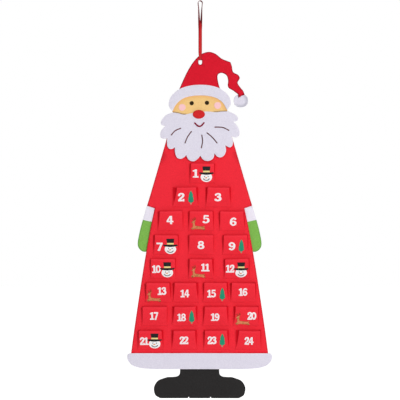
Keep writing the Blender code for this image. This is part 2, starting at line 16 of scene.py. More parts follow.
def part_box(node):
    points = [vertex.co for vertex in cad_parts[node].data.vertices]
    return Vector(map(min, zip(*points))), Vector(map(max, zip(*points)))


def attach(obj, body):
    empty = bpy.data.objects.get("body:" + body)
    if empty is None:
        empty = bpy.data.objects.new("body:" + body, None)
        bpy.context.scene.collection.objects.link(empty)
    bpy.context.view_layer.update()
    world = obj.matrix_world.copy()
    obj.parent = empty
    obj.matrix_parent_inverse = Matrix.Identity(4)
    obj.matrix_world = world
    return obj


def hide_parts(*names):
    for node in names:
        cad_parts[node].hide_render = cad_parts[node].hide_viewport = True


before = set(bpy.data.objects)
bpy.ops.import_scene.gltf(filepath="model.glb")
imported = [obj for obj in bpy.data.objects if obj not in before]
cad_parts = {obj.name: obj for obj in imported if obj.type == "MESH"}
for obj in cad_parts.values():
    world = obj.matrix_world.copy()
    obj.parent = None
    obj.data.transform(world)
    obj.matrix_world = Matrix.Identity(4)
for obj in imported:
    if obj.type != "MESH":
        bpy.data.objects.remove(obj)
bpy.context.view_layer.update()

MM = 0.001

# Camera: one pixel of the 400 pixel frame is 3 mm of felt.
FRAME_WIDTH = 1.2
CAMERA_DISTANCE = 2.4
SENSOR_WIDTH = 36
VIEW_CENTRE = (-0.6 * MM, -597.3 * MM)

# Lamps: name, place, size, power
LAMPS = (
    ("key", (1.7, -3.6, 0.1), 1.1, 88),
    ("fill", (-1.9, -2.6, -1.0), 2.0, 9),
    ("back", (-0.6, 2.6, 0.4), 2.0, 22),
)
AMBIENT = 0.34
FLOOR_GLOW = 0.75
FLOOR_Z = -1.85
FLOOR_REACH = 9.0

# Ribbon, as in the model
RIBBON_DROP = 0.1752
RIBBON_WIDTH = 0.0106
RIBBON_THICK = 0.0004
LOOP_HALF_GAP = 0.0066
GATHERED_WIDTH = 0.0075
STRAND_HALF_GAP = 0.0021
KNOT_RISE = 0.0027
KNOT_HEIGHT = 0.0070
KNOT_ENTRY = 0.0022
KNOT_REACH = 0.0003
HOLE_WIDTH = 0.0102
HINGE_Z = -RIBBON_DROP - HOLE_WIDTH / 2
LOOP_STEPS = 10
SADDLE_STEPS = 8
# Depth as a share of the drop, spread, turn in degrees
STRAND_STATIONS = (
    (0.036, 1.00, 12),
    (0.085, 0.82, 14),
    (0.130, 0.64, 16),
    (0.233, 0.49, 22),
    (0.336, 0.36, 32),
    (0.385, 0.15, 52),
    (0.430, 0.04, 72),
    (0.475, 0.00, 85),
    (0.520, 0.00, 90),
    (0.685, 0.00, 90),
    (0.856, 0.00, 90),
)
# Depth, and how far it is gathered
FRONT_END = ((0.910, 0.30), (0.955, 0.65), (1.000, 1.00))

# Ribbon's and knot's detail
ROUTE_STEPS = 5
ACROSS_STEPS = 12
PLEATS = 2.5
PLEAT_HEIGHT = 0.28 * MM
CROWN_HEIGHT = 0.7 * MM
WAVE_HEIGHT = 0.12 * MM
WAVE_TURN = 0.35
HALF_THICK = 0.45 * RIBBON_THICK
SELVEDGE_SWELL = 1.25
LEAST_CUP = 2.5 * MM
KNOT_RINGS = 22
KNOT_AROUND = 36
TAIL_STEPS = 14
TAIL_ACROSS = 9
TAIL_LENGTH = 15 * MM
TAIL_LEANS = (math.radians(90), math.radians(120))

# Felt outlines: a turn sharper than this stays a corner, and an edge longer than this stays straight.
SHARP_TURN = math.radians(31)
BOOTS_SHARP_TURN = math.radians(50)
STRAIGHT_EDGE = 22 * MM
# Radius of a cut edge as a share of the thickness, and how far in a quarter circle's middle lies
EDGE_ROUNDING = 0.3
QUARTER_ROUND = 0.29
# Points of a face: distance of their rows and least gap to a cut edge, as shares of their spacing
EVEN_ROW = 0.866
EVEN_GAP = 0.45
GROUP_GAP = 0.5 * MM
# Noise waves in a metre, along a cut edge and over a face
WOBBLE_SCALE = 260
LUMP_SCALE = 70
# The felt starts to wave below this height, and does so fully this far below it.
HANG_TOP = -0.33
HANG_FADE = 0.30

# Coat's shade at the pockets' mouths
POCKET_NODES = [f"pocket_{number:02d}" for number in range(1, 25)]
MOUTHS = [(low.x, high.x, high.z) for low, high in map(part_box, POCKET_NODES)]
MOUTH_FADE = 2.5 * MM
MOUTH_SHADE = 3.8 * MM

POCKET_THICK = 1.5 * MM
POCKET_DEPTH = 15 * MM
POCKET_FLANGE = 1.8 * MM
POCKET_SEAM = 4 * MM
FOLD_GAP = 0.4 * MM
EDGE_STRIP = 0.5 * MM
PLEAT_DEPTH = 3.0 * MM
PLEAT_PLACE = 0.45
CORNER_DROP = 0.9 * MM
# Reach and points of a side's folds at the flange, in the pleat and at the front
FOLDS = ((1.3 * MM, 5), (1.5 * MM, 3), (1.4 * MM, 6))
# How deep in the fold each of a side's points lies, which sets the painted shade there
FOLD_DEPTHS = (0, 0, 0.3, 0.8, 1, 1, 1, 1, 1, 1, 1, 0.85, 0.45, 0.1, 0, 0)
FRONT_COLUMNS = 17
FRONT_ROWS = 14
# Levels of the rows up to the seam, and depths of the last rows below the mouth, in mm
SEAM_LEVELS = (0.0, 0.5, 1.6, 2.2, 2.8)
LIP_LEVELS = (0.6, 0.25, 0.0)
# Spans of what differs between pockets, in mm: lost depth, then the front's bow, swing, tilt and sag
POCKET_LUCK = ((0.0, 2.5), (0.6, 2.8), (-1.2, 1.2), (-1.1, 1.1), (0.3, 1.6))
# Number, left and right inset of the mouth, place of the numeral, then kind and place of the figure, in mm.
# The places are from the pocket's middle.
POCKETS = (
    (1, 4.2, 4.2, -20.9, 0.0, "snowman", 11.7, -1.8),
    (2, 13.8, 7.8, -12.9, 0.3, "tree", 16.1, -0.6),
    (3, 6.9, 6.9, -1.5, 0.3),
    (4, 6.9, 2.7, -2.1, 3.2),
    (5, 4.5, 4.5, 14.1, 5.6, "reindeer", -10.1, -6.3),
    (6, 2.7, 5.7, 2.9, -1.8),
    (7, 5.7, 3.6, -19.0, -5.5, "snowman", 13.0, -3.7),
    (8, 3.3, 2.4, -0.8, -0.1),
    (9, 3.3, 3.9, -10.8, -3.7, "tree", 17.3, -3.7),
    (10, 2.4, 3.3, -20.9, -0.7, "snowman", 12.4, -2.5),
    (11, 4.2, 6.9, 12.3, 4.4, "reindeer", -10.1, -6.8),
    (12, 3.6, 4.2, -20.7, 0.8, "snowman", 12.6, -2.5),
    (13, 3.6, 5.1, 10.7, 5.2, "reindeer", -14.0, -7.4),
    (14, 5.4, 8.4, -3.6, -2.3),
    (15, 4.5, 6.9, -13.4, -2.6, "tree", 19.5, -5.0),
    (16, 3.9, 4.8, -1.9, 2.5),
    (17, 3.3, 1.5, -1.4, 1.9),
    (18, 8.1, 6.9, -10.0, -2.3, "tree", 20.8, -1.4),
    (19, 6.0, 6.9, -2.4, -1.4),
    (20, 6.9, 3.9, 16.4, 2.2, "reindeer", -11.9, -5.6),
    (21, 3.6, 6.0, -19.0, -2.0, "snowman", 12.1, -1.1),
    (22, 7.2, 6.9, -0.7, 0.4),
    (23, 4.8, 6.9, -13.2, 0.4, "tree", 17.9, 0.4),
    (24, 9.9, 4.5, 0.7, -1.1),
)

STITCH_PITCH = 3.4 * MM
STITCH_LENGTH = 2.5 * MM
STITCH_RADIUS = 0.30 * MM
STITCH_AROUND = 6
# Place along the stitch, size and rise of each of its rings
STITCH_RINGS = (
    (-1.0, 0.35, -0.30), (-0.72, 0.85, 0.05), (-0.25, 1.0, 0.22),
    (0.25, 1.0, 0.22), (0.72, 0.85, 0.05), (1.0, 0.35, -0.30),
)

# Prints: width, height and step of the grid that each kind is drawn on
PRINT_SIZES = {
    "numeral": (34 * MM, 31 * MM),
    "snowman": (46 * MM, 52 * MM),
    "tree": (26 * MM, 46 * MM),
    "reindeer": (46 * MM, 48 * MM),
}
PRINT_STEP = 0.6 * MM
# Values nearer to zero than this count as outside.
PRINT_LEAST = 0.02 * MM
# Points go that are this close to a short line between their neighbours, or come after a tiny step.
PRINT_SLACK = 0.03 * MM
LONGEST_CHORD = 3.5 * MM
TINY_STEP = 0.12 * MM
FEWEST_POINTS = 8
# Raised ink, and a depth well in front of the pockets, from which their surface is found
PRINT_THICK = 0.32 * MM
PRINT_ROUNDING = 0.08 * MM
PRINT_SPACING = 3.5 * MM
PRINT_RISE = 0.16 * MM
LAYER_RISE = 0.06 * MM
IN_FRONT = -0.2
# Height, squeeze, added weight and each digit's shift for numbers of one digit and of two
NUMERALS = ((24.2 * MM, 1.10, 0.45 * MM, (0.39,)), (23.2 * MM, 0.82, 0.45 * MM, (0.715, 0.07)))
# Bars (left, right, low, high) and strokes (rows of across, up, half width) of the digits, one unit high
DIGIT_BARS = {
    "1": ((0.30, 0.54, 0.0, 0.97), (0.10, 0.72, 0.0, 0.15)),
    "2": ((0.06, 0.72, 0.0, 0.17), (0.60, 0.72, 0.0, 0.28)),
    "4": ((0.44, 0.64, 0.0, 1.0), (0.05, 0.79, 0.25, 0.39)),
    "5": ((0.16, 0.69, 0.84, 1.0),),
    "7": ((0.05, 0.71, 0.83, 1.0),),
}
DIGIT_STROKES = {
    "1": (((0.42, 0.93, 0.065), (0.27, 0.84, 0.07), (0.15, 0.80, 0.065)),),
    "2": ((
        (0.16, 0.73, 0.11), (0.20, 0.87, 0.08), (0.39, 0.925, 0.075), (0.59, 0.85, 0.105),
        (0.61, 0.67, 0.115), (0.45, 0.45, 0.10), (0.24, 0.26, 0.09), (0.14, 0.12, 0.08),
    ),),
    "3": (
        (
            (0.16, 0.80, 0.10), (0.36, 0.93, 0.07), (0.58, 0.85, 0.10),
            (0.59, 0.66, 0.10), (0.36, 0.54, 0.065),
        ),
        (
            (0.36, 0.54, 0.065), (0.61, 0.45, 0.11), (0.64, 0.22, 0.12),
            (0.38, 0.075, 0.075), (0.14, 0.18, 0.115),
        ),
    ),
    "4": (((0.44, 0.93, 0.065), (0.28, 0.66, 0.065), (0.12, 0.36, 0.065)),),
    "5": (
        ((0.22, 0.92, 0.065), (0.205, 0.74, 0.06), (0.19, 0.56, 0.06)),
        (
            (0.20, 0.56, 0.06), (0.40, 0.62, 0.065), (0.63, 0.51, 0.10),
            (0.64, 0.25, 0.11), (0.38, 0.075, 0.07), (0.14, 0.17, 0.105),
        ),
    ),
    "6": ((
        (0.62, 0.84, 0.10), (0.44, 0.93, 0.07), (0.23, 0.80, 0.095), (0.145, 0.54, 0.105),
        (0.16, 0.28, 0.105), (0.38, 0.075, 0.07), (0.62, 0.20, 0.10), (0.62, 0.42, 0.10),
        (0.40, 0.55, 0.065), (0.20, 0.42, 0.055),
    ),),
    "7": (((0.62, 0.90, 0.085), (0.46, 0.50, 0.095), (0.28, 0.0, 0.11)),),
}
# Rings of the digits: height of the centre, two radii, half width, and how much more at the sides
DIGIT_RINGS = {
    "0": ((0.5, 0.27, 0.405, 0.08, 0.032),),
    "8": ((0.735, 0.22, 0.185, 0.07, 0.02), (0.285, 0.27, 0.205, 0.07, 0.03)),
}
DIGIT_MIDDLE = 0.39

# Linear colours: the felt's own colour, and the deeper one between its fibres
COAT = ((0.95, 0.031, 0.052), (0.78, 0.020, 0.034))
HAT = ((0.77, 0.012, 0.032), (0.58, 0.009, 0.021))
WHITE = ((0.80, 0.77, 0.87), (0.67, 0.64, 0.75))
SKIN = ((0.93, 0.64, 0.27), (0.85, 0.53, 0.20))
BLUSH = ((0.98, 0.62, 0.64), (0.94, 0.54, 0.56))
NOSE = ((0.72, 0.028, 0.030), (0.55, 0.017, 0.020))
MOUTH = ((0.27, 0.012, 0.040), (0.19, 0.008, 0.026))
BLACK = ((0.029, 0.027, 0.027), (0.019, 0.018, 0.018))
GREEN = ((0.25, 0.54, 0.105), (0.17, 0.41, 0.065))
BRIGHT = ((0.89, 0.86, 0.95), (0.76, 0.73, 0.83))
EYE = ((0.045, 0.030, 0.012), (0.025, 0.016, 0.008))
WHITE_EDGE = (0.88, 0.84, 0.92)
# Painted shade in creases, along edges and in the pockets' folds
CREVICE_SHADE = (0.64, 0.001, 0.011)
# Painted shade on the walls of the beard's slits and on the coat seen through them
SLIT_SHADE = (0.15, 0.003, 0.014)
# Ink, and the second colour of its patches where it has one
INK_COLOURS = {
    "white": ((0.95, 0.94, 0.95),),
    "chalk": ((0.94, 0.86, 0.88),),
    "black": ((0.018, 0.017, 0.018),),
    "cream": ((0.90, 0.69, 0.27),),
    "orange": ((0.80, 0.26, 0.05),),
    "green": ((0.02, 0.30, 0.17),),
    "wood": ((0.46, 0.29, 0.19),),
    "rust": ((0.24, 0.05, 0.015),),
    "tan": ((0.74, 0.25, 0.11), (0.44, 0.19, 0.06)),
}


# Node materials

class Nodes:
    """Short ways to add and link shader nodes."""

    def __init__(self, name):
        self.material = bpy.data.materials.new(name)
        self.material.use_nodes = True
        self.tree = self.material.node_tree
        self.shader = self.tree.nodes["Principled BSDF"]
        self.coordinates = self.add("TexCoord").outputs["Object"]

    def add(self, kind, **inputs):
        node = self.tree.nodes.new("ShaderNode" + kind)
        for name, value in inputs.items():
            self.put(value, node.inputs[name.replace("_", " ")])
        return node

    def put(self, value, socket):
        """Links another node's output to the socket, or sets a number, a direction or a colour on it."""
        if isinstance(value, bpy.types.NodeSocket):
            self.tree.links.new(value, socket)
        elif socket.type == "RGBA":
            socket.default_value = (*value, 1)
        else:
            socket.default_value = value

    def stretched(self, turn, scale):
        return self.add("Mapping", Vector=self.coordinates, Rotation=turn, Scale=scale).outputs["Vector"]

    def noise(self, scale, detail=2.0, roughness=0.5, vector=None, distortion=0.0):
        node = self.add("TexNoise", Vector=vector or self.coordinates, Scale=scale, Detail=detail,
                        Roughness=roughness, Distortion=distortion)
        return node.outputs["Fac"]

    def math(self, operation, first, second):
        node = self.add("Math")
        node.operation = operation
        self.put(first, node.inputs[0])
        self.put(second, node.inputs[1])
        return node.outputs[0]

    def ramp(self, value, low, high):
        """The value's stretch from low to high, made 0 to 1."""
        node = self.add("MapRange", Value=value, From_Min=low, From_Max=high)
        node.interpolation_type = "SMOOTHSTEP"
        return node.outputs["Result"]

    def mix(self, factor, first, second):
        node = self.add("Mix")
        node.data_type = "RGBA"
        colours = [socket for socket in node.inputs if socket.type == "RGBA"]
        self.put(factor, node.inputs[0])
        self.put(first, colours[0])
        self.put(second, colours[1])
        return next(socket for socket in node.outputs if socket.type == "RGBA")

    def attribute(self, name):
        node = self.add("Attribute")
        node.attribute_name = name
        return node.outputs["Fac"]

    def bump(self, height, strength, distance):
        node = self.add("Bump", Height=height, Strength=strength, Distance=distance)
        self.put(node.outputs["Normal"], self.shader.inputs["Normal"])

    def surface(self, colour, roughness, sheen=0.0, tint=(1, 1, 1), specular=0.1):
        values = {
            "Base Color": colour,
            "Roughness": roughness,
            "Sheen Weight": sheen,
            "Sheen Roughness": 0.5,
            "Sheen Tint": tint,
            "Specular IOR Level": specular,
        }
        for name, value in values.items():
            self.put(value, self.shader.inputs[name])
        return self.material


def felt_material(name, colours, rim=0.0, rim_colour=None, marks=()):
    """Matted wool: streaks of fibre in two directions, small tufts, faint clouds and a darker cut edge.

    Each mark is a point attribute, the colour that it brings and how strongly.
    """
    light, deep = colours
    n = Nodes(name)
    streak = n.math(
        "MAXIMUM",
        n.noise(1, 2.5, 0.6, n.stretched((0.3, 0.2, 0.7), (1300, 900, 190)), 0.6),
        n.noise(1, 2.5, 0.6, n.stretched((0.2, 1.1, -0.4), (210, 900, 1250)), 0.6),
    )
    tufts = n.noise(420, 3.0, 0.65)
    clouds = n.noise(16, 3.0, 0.55)
    fibres = n.math("ADD", n.math("MULTIPLY", streak, 0.6), n.math("MULTIPLY", tufts, 0.4))
    base = n.mix(n.ramp(fibres, 0.36, 0.66), deep, light)
    colour = n.mix(n.math("MULTIPLY", n.ramp(clouds, 0.30, 0.75), 0.16), base, deep)
    for mark, mark_colour, strength in marks:
        colour = n.mix(n.math("MULTIPLY", n.attribute(mark), strength), colour, mark_colour)
    if rim:
        edge = n.math("MULTIPLY", n.ramp(n.attribute("rim"), 0.25, 0.85), rim)
        colour = n.mix(edge, colour, rim_colour)
    n.bump(n.math("ADD", fibres, n.math("MULTIPLY", n.noise(150), 0.5)), 0.5, 0.6 * MM)
    return n.surface(colour, 0.92, 0.12, light)


def print_material(name, colour, second=None):
    """Ink pressed into the felt, with fibres telling through it and patches of a second colour."""
    n = Nodes(name)
    worn = tuple(0.93 * c for c in colour)
    base = n.mix(n.ramp(n.noise(700, 3.0, 0.6), 0.35, 0.7), worn, colour)
    if second:
        base = n.mix(n.ramp(n.noise(230), 0.48, 0.62), base, second)
    n.bump(n.noise(520), 0.25, 0.3 * MM)
    return n.surface(base, 0.62)


def thread_material():
    n = Nodes("red_thread")
    twist = n.noise(1, vector=n.stretched((0.0, 0.6, 0.0), (2600, 2600, 500)))
    base = n.mix(n.ramp(twist, 0.3, 0.7), (0.55, 0.010, 0.020), (0.85, 0.035, 0.05))
    n.bump(twist, 0.4, 0.2 * MM)
    return n.surface(base, 0.55, 0.2, (1, 0.6, 0.6))


def satin_material():
    """Satin: fine floats along the ribbon, lighter as a painted sheen, a darker woven edge that also stands
    for shade where strands are seen edge-on, a soft gloss and painted shade in the loop.
    """
    n = Nodes("ribbon_satin")
    floats = n.noise(1, vector=n.stretched((0.0, 0.0, 0.0), (4200, 4200, 240)))
    selvedge = n.ramp(n.math("ABSOLUTE", n.attribute("across"), 0.0), 0.80, 0.93)
    tone = n.mix(n.noise(60), (0.48, 0.012, 0.017), (0.61, 0.022, 0.024))
    # The floats' lighter colour is a painted sheen.
    tone = n.mix(n.math("MULTIPLY", n.ramp(floats, 0.3, 0.7), 0.3), tone, (0.68, 0.04, 0.038))
    # Painted shade in the loop and on the left half below it
    tone = n.mix(n.math("MULTIPLY", n.attribute("shade"), 0.85), tone, (0.22, 0.002, 0.010))
    # The woven edge's darker colour, also painted shade for strands seen edge-on
    colour = n.mix(n.math("MULTIPLY", selvedge, 0.8), tone, (0.14, 0.002, 0.007))
    n.bump(n.math("ADD", floats, n.math("MULTIPLY", selvedge, 0.6)), 0.35, 0.2 * MM)
    n.shader.inputs["Anisotropic"].default_value = 0.4
    return n.surface(colour, 0.40, specular=0.06)


# Meshes

def add_object(name, data):
    made = bpy.data.objects.new(name, data)
    bpy.context.scene.collection.objects.link(made)
    return made


def add_piece(name, points, faces, materials, smooth=True, floats=None, face_materials=None):
    mesh = bpy.data.meshes.new(name)
    mesh.from_pydata([tuple(p) for p in points], [], faces)
    for material in materials:
        mesh.materials.append(material)
    if face_materials is not None:
        mesh.polygons.foreach_set("material_index", face_materials)
    if smooth:
        mesh.shade_smooth()
    for key, values in (floats or {}).items():
        layer = mesh.attributes.new(key, "FLOAT", "POINT")
        layer.data.foreach_set("value", np.asarray(values, np.float32))
    mesh.validate()
    mesh.update()
    return add_object(name, mesh)


def stand_for(piece, node, body):
    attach(piece, body)
    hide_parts(node)


def area_of(loop):
    x, z = loop[:, 0], loop[:, 1]
    return float((x * np.roll(z, -1) - np.roll(x, -1) * z).sum() / 2)


def closed_lines(following, place):
    """Closed lines from each point's next one, the line round the largest area first."""
    loops = []
    while following:
        start, step = following.popitem()
        loop = [start]
        while step != start:
            loop.append(step)
            step = following.pop(step)
        loops.append(np.array([place[name] for name in loop]))
    return sorted(loops, key=lambda loop: -abs(area_of(loop)))


def cut_lines(node):
    """Closed outlines (across, up) of a felt node's front face, outer one first."""
    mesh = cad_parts[node].data
    known, points, index = {}, [], []
    for vertex in mesh.vertices:
        key = tuple(round(c * 1e6) for c in vertex.co)
        if key not in known:
            known[key] = len(points)
            points.append((vertex.co.x, vertex.co.z))
        index.append(known[key])
    edges = set()
    for face in mesh.polygons:
        if face.normal.y < -0.9:
            ring = [index[i] for i in face.vertices]
            for edge in zip(ring, ring[1:] + ring[:1]):
                if edge[::-1] in edges:
                    edges.remove(edge[::-1])
                else:
                    edges.add(edge)
    return closed_lines(dict(edges), points)


def soft_step(t):
    t = np.clip(t, 0, 1)
    return t * t * (3 - 2 * t)


def outward(loop):
    """Unit directions out of the felt at each point of an outline that runs round it."""
    along = np.roll(loop, -1, axis=0) - np.roll(loop, 1, axis=0)
    out = np.stack([along[:, 1], -along[:, 0]], axis=1)
    return out / np.maximum(np.linalg.norm(out, axis=1), 1e-9)[:, None]


def smooth_loop(loop, spacing, wobble, sharp=SHARP_TURN):
    """The outline with points about the spacing apart.

    Corners stay, long edges stay straight, and the rest is curved.
    """
    ahead = np.roll(loop, -1, axis=0) - loop
    length = np.linalg.norm(ahead, axis=1)
    unit = ahead / length[:, None]
    before = np.roll(unit, 1, axis=0)
    turn = np.arccos(np.clip((unit * before).sum(1), -1, 1))
    tangent = unit + before
    tangent /= np.maximum(np.linalg.norm(tangent, axis=1), 1e-9)[:, None]
    found = []
    for i in range(len(loop)):
        j = (i + 1) % len(loop)
        steps = max(1, math.ceil(length[i] / spacing))
        t = np.arange(steps)[:, None] / steps
        if length[i] > STRAIGHT_EDGE:
            found.append(loop[i] + t * ahead[i])
            continue
        start = unit[i] if turn[i] > sharp else tangent[i]
        end = unit[i] if turn[j] > sharp else tangent[j]
        found.append(
            (2 * t**3 - 3 * t**2 + 1) * loop[i]
            + (t**3 - 2 * t**2 + t) * start * length[i]
            + (3 * t**2 - 2 * t**3) * loop[j]
            + (t**3 - t**2) * end * length[i]
        )
    points = np.concatenate(found)
    shift = [noise.noise(Vector((x * WOBBLE_SCALE, 0.0, z * WOBBLE_SCALE))) for x, z in points]
    return points + outward(points) * (np.array(shift) * wobble)[:, None]


def distance_to(points, loops):
    """How far each point is from the nearest outline."""
    best = np.full(len(points), np.inf)
    for loop in loops:
        for a, b in zip(loop, np.roll(loop, -1, axis=0)):
            d = b - a
            t = np.clip((points - a) @ d / max(d @ d, 1e-18), 0, 1)
            best = np.minimum(best, np.linalg.norm(points - a - t[:, None] * d, axis=1))
    return best


def inside(points, loops):
    """Whether each point lies inside the outlines, counting crossings."""
    odd = np.zeros(len(points), bool)
    for loop in loops:
        for (x0, z0), (x1, z1) in zip(loop, np.roll(loop, -1, axis=0)):
            if z0 == z1:
                continue
            crosses = (points[:, 1] < z0) != (points[:, 1] < z1)
            at = x0 + (points[:, 1] - z0) * (x1 - x0) / (z1 - z0)
            odd ^= crosses & (points[:, 0] < at)
    return odd


def pulled_in(loop, inset):
    """The outline moved into the felt, less far where another edge is near."""
    out = outward(loop)
    shift = np.full(len(loop), inset)
    for _ in range(6):
        tight = distance_to(loop - out * shift[:, None], [loop]) < 0.8 * shift
        if not tight.any():
            break
        tight |= np.roll(tight, 1) | np.roll(tight, -1)
        shift[tight] *= 0.6
    return loop - out * shift[:, None]


def fill(loops, spacing, groups=()):
    """Flat points and triangles inside the outlines, or None where these cross.

    The outlines' points come first. Each group of points takes the place of the even ones in its box.
    """
    def kept(points, gap):
        points = points[inside(points, loops)]
        return points[distance_to(points, loops) > gap]

    rim = np.concatenate(loops)
    low, high = rim.min(0), rim.max(0)
    rows = []
    for number, z in enumerate(np.arange(low[1], high[1], spacing * EVEN_ROW)):
        xs = np.arange(low[0] + (number % 2) * spacing / 2, high[0], spacing)
        rows.append(np.stack([xs, np.full(len(xs), z)], axis=1))
    grid = kept(np.concatenate(rows), spacing * EVEN_GAP)
    added = []
    for group in groups:
        low, high = group.min(0) - spacing / 4, group.max(0) + spacing / 4
        grid = grid[~((grid > low) & (grid < high)).all(1)]
        added.append(kept(group, GROUP_GAP))
    edges, start = [], 0
    for loop in loops:
        count = len(loop)
        edges += [(start + i, start + (i + 1) % count) for i in range(count)]
        start += count
    flat = [Vector(p) for p in np.concatenate([rim, grid, *added])]
    made = geometry.delaunay_2d_cdt(flat, edges, [], 1, 1e-9)
    corners, triangles, origin = made[0], made[2], made[3]
    if len(corners) != len(flat):
        return None
    place = [o[0] for o in origin]
    centres = np.array([sum((corners[i] for i in t), Vector((0, 0))) / 3 for t in triangles])
    triangles = [[place[i] for i in t] for t, keep in zip(triangles, inside(centres, loops)) if keep]
    return np.array([tuple(p) for p in flat]), triangles


def at_depth(flat, depth):
    return np.stack([flat[:, 0], np.full(len(flat), depth, float), flat[:, 1]], axis=1)


def flat_solid(loops, spacing, thick, rounding, band, groups=()):
    """Points (across, depth, up), faces and nearness to a cut edge of a flat solid with soft edges."""
    for share in (1, 0.6, 0.3, 0):
        filled = fill([pulled_in(loop, rounding * share) for loop in loops], spacing, groups)
        if filled:
            break
    flat, triangles = filled
    full = np.concatenate(loops)
    count = len(full)
    out = np.concatenate([outward(loop) for loop in loops])
    reach = np.concatenate([np.full(count, rounding), distance_to(flat[count:], loops)])
    points, rim = [at_depth(flat, 0)], [1 - reach / band]
    back, soft = thick / rounding, QUARTER_ROUND
    for inset, depth in ((soft, soft), (0, 1), (0, back - 1), (soft, back - soft)):
        points.append(at_depth(full - out * inset * rounding, depth * rounding))
        rim.append(np.ones(count))
    points.append(at_depth(flat, thick))
    rim.append(rim[0])

    starts = [0] + [len(flat) + k * count for k in range(5)]
    faces, first = list(triangles), 0
    for loop in loops:
        for a, b in zip(starts, starts[1:]):
            for i in range(len(loop)):
                j = (i + 1) % len(loop)
                faces.append((a + first + i, b + first + i, b + first + j, a + first + j))
        first += len(loop)
    faces += [[starts[-1] + i for i in reversed(t)] for t in triangles]
    return np.concatenate(points), faces, np.clip(np.concatenate(rim), 0, 1)


def warp(x, z):
    """How far the hanging felt stands off its plane. The hat and the head stay flat."""
    wave = 0.9 * np.sin(9.0 * z + 0.8) + 0.7 * np.sin(11.0 * x + 4.0 * z)
    wave += 0.4 * np.sin(23.0 * x - 13.0 * z)
    return soft_step((HANG_TOP - z) / HANG_FADE) * wave * MM


def lumps(x, z, seed, height):
    """Small unevenness of a felt surface."""
    values = [noise.noise(Vector((a * LUMP_SCALE, seed, b * LUMP_SCALE))) for a, b in zip(x, z)]
    return np.array(values) * height


def felt_piece(name, material, spacing, seed, edge_spacing=2.2 * MM, lump=0.12 * MM, band=3 * MM,
               wobble=0.12 * MM, marks=None, groups=(), sharp=SHARP_TURN):
    """A felt piece in the place of its node: the same outline and thickness, with soft edges.

    Its marks are on the front and the edge, and its back is plain.
    """
    low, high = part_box(name)
    thick = high.y - low.y
    loops = [smooth_loop(loop, edge_spacing, wobble, sharp) for loop in cut_lines(name)]
    points, faces, rim = flat_solid(loops, spacing, thick, EDGE_ROUNDING * thick, band, groups)
    x, z = points[:, 0], points[:, 2]
    floats = {"rim": rim}
    if marks:
        front = points[:, 1] < 0.8 * thick
        floats |= {mark: values * front for mark, values in marks(points, loops).items()}
    points[:, 1] += low.y + warp(x, z) + lumps(x, z, seed, lump)
    piece = add_piece(name + "_felt", points, faces, [material], floats=floats)
    stand_for(piece, name, "calendar")
    size = np.ptp(np.concatenate(loops), axis=0)
    area = abs(area_of(loops[0])) - sum(abs(area_of(loop)) for loop in loops[1:])
    return piece, tuple(float(s) for s in size), float(area)


def finer(values, steps):
    """Rows of numbers with smooth rows between them."""
    found = []
    for i in range(len(values) - 1):
        a, b = values[max(i - 1, 0)], values[i]
        c, d = values[i + 1], values[min(i + 2, len(values) - 1)]
        line, square, cube = c - a, 2 * a - 5 * b + 4 * c - d, 3 * b - a - 3 * c + d
        for step in range(steps):
            t = step / steps
            found.append((2 * b + line * t + square * t**2 + cube * t**3) / 2)
    found.append(values[-1])
    return np.array(found)


def shell(grid, half):
    """Points and faces of a closed sheet, half its thickness to each side of a grid (rows, across, 3)."""
    rows, count = grid.shape[:2]
    normal = normals(grid)
    half = np.broadcast_to(half, (rows, count))[:, :, None]
    upper = (grid + normal * half).reshape(-1, 3)
    lower = (grid - normal * half).reshape(-1, 3)
    faces, total = [], rows * count
    for i in range(rows - 1):
        for j in range(count - 1):
            a, b = i * count + j, (i + 1) * count + j
            faces.append((a, b, b + 1, a + 1))
            faces.append((total + a, total + a + 1, total + b + 1, total + b))
        a, b = i * count, (i + 1) * count
        faces.append((a, total + a, total + b, b))
        a, b = a + count - 1, b + count - 1
        faces.append((a, b, total + b, total + a))
    last = (rows - 1) * count
    for j in range(count - 1):
        faces.append((j, j + 1, total + j + 1, total + j))
        faces.append((last + j, total + last + j, total + last + j + 1, last + j + 1))
    return np.concatenate([upper, lower]), faces


def steps_of(points, axis):
    """Distances from each point to the next along an axis."""
    return np.linalg.norm(np.diff(points, axis=axis), axis=-1)


def normals(grid):
    normal = np.cross(np.gradient(grid, axis=0), np.gradient(grid, axis=1))
    return normal / np.maximum(np.linalg.norm(normal, axis=2), 1e-12)[:, :, None]


# Camera and stage

def make_camera():
    data = bpy.data.cameras.new("camera")
    data.sensor_width = SENSOR_WIDTH
    data.lens = SENSOR_WIDTH * CAMERA_DISTANCE / FRAME_WIDTH
    camera = add_object("camera", data)
    camera.location = (VIEW_CENTRE[0], -CAMERA_DISTANCE, VIEW_CENTRE[1])
    camera.rotation_euler = (math.pi / 2, 0, 0)
    bpy.context.scene.camera = camera


def make_lamps():
    for name, place, size, power in LAMPS:
        data = bpy.data.lights.new(name, "AREA")
        data.shape = "SQUARE"
        data.size = size
        data.energy = power
        lamp = add_object(name, data)
        lamp.location = place
        aim = Vector((0, 0, VIEW_CENTRE[1])) - Vector(place)
        lamp.rotation_euler = aim.to_track_quat("-Z", "Y").to_euler()


def make_world():
    """Soft light all round, which the camera and reflections see as white."""
    world = bpy.data.worlds.new("studio")
    bpy.context.scene.world = world
    world.use_nodes = True
    tree = world.node_tree
    background = tree.nodes["Background"]
    background.inputs["Color"].default_value = (1, 1, 1, 1)
    path = tree.nodes.new("ShaderNodeLightPath")
    seen = path.outputs["Is Camera Ray"]
    for ray in ("Is Glossy Ray", "Is Transmission Ray"):
        either = tree.nodes.new("ShaderNodeMath")
        either.operation = "MAXIMUM"
        tree.links.new(seen, either.inputs[0])
        tree.links.new(path.outputs[ray], either.inputs[1])
        seen = either.outputs[0]
    strength = tree.nodes.new("ShaderNodeMapRange")
    strength.inputs["To Min"].default_value = AMBIENT
    strength.inputs["To Max"].default_value = 1
    tree.links.new(seen, strength.inputs["Value"])
    tree.links.new(strength.outputs["Result"], background.inputs["Strength"])


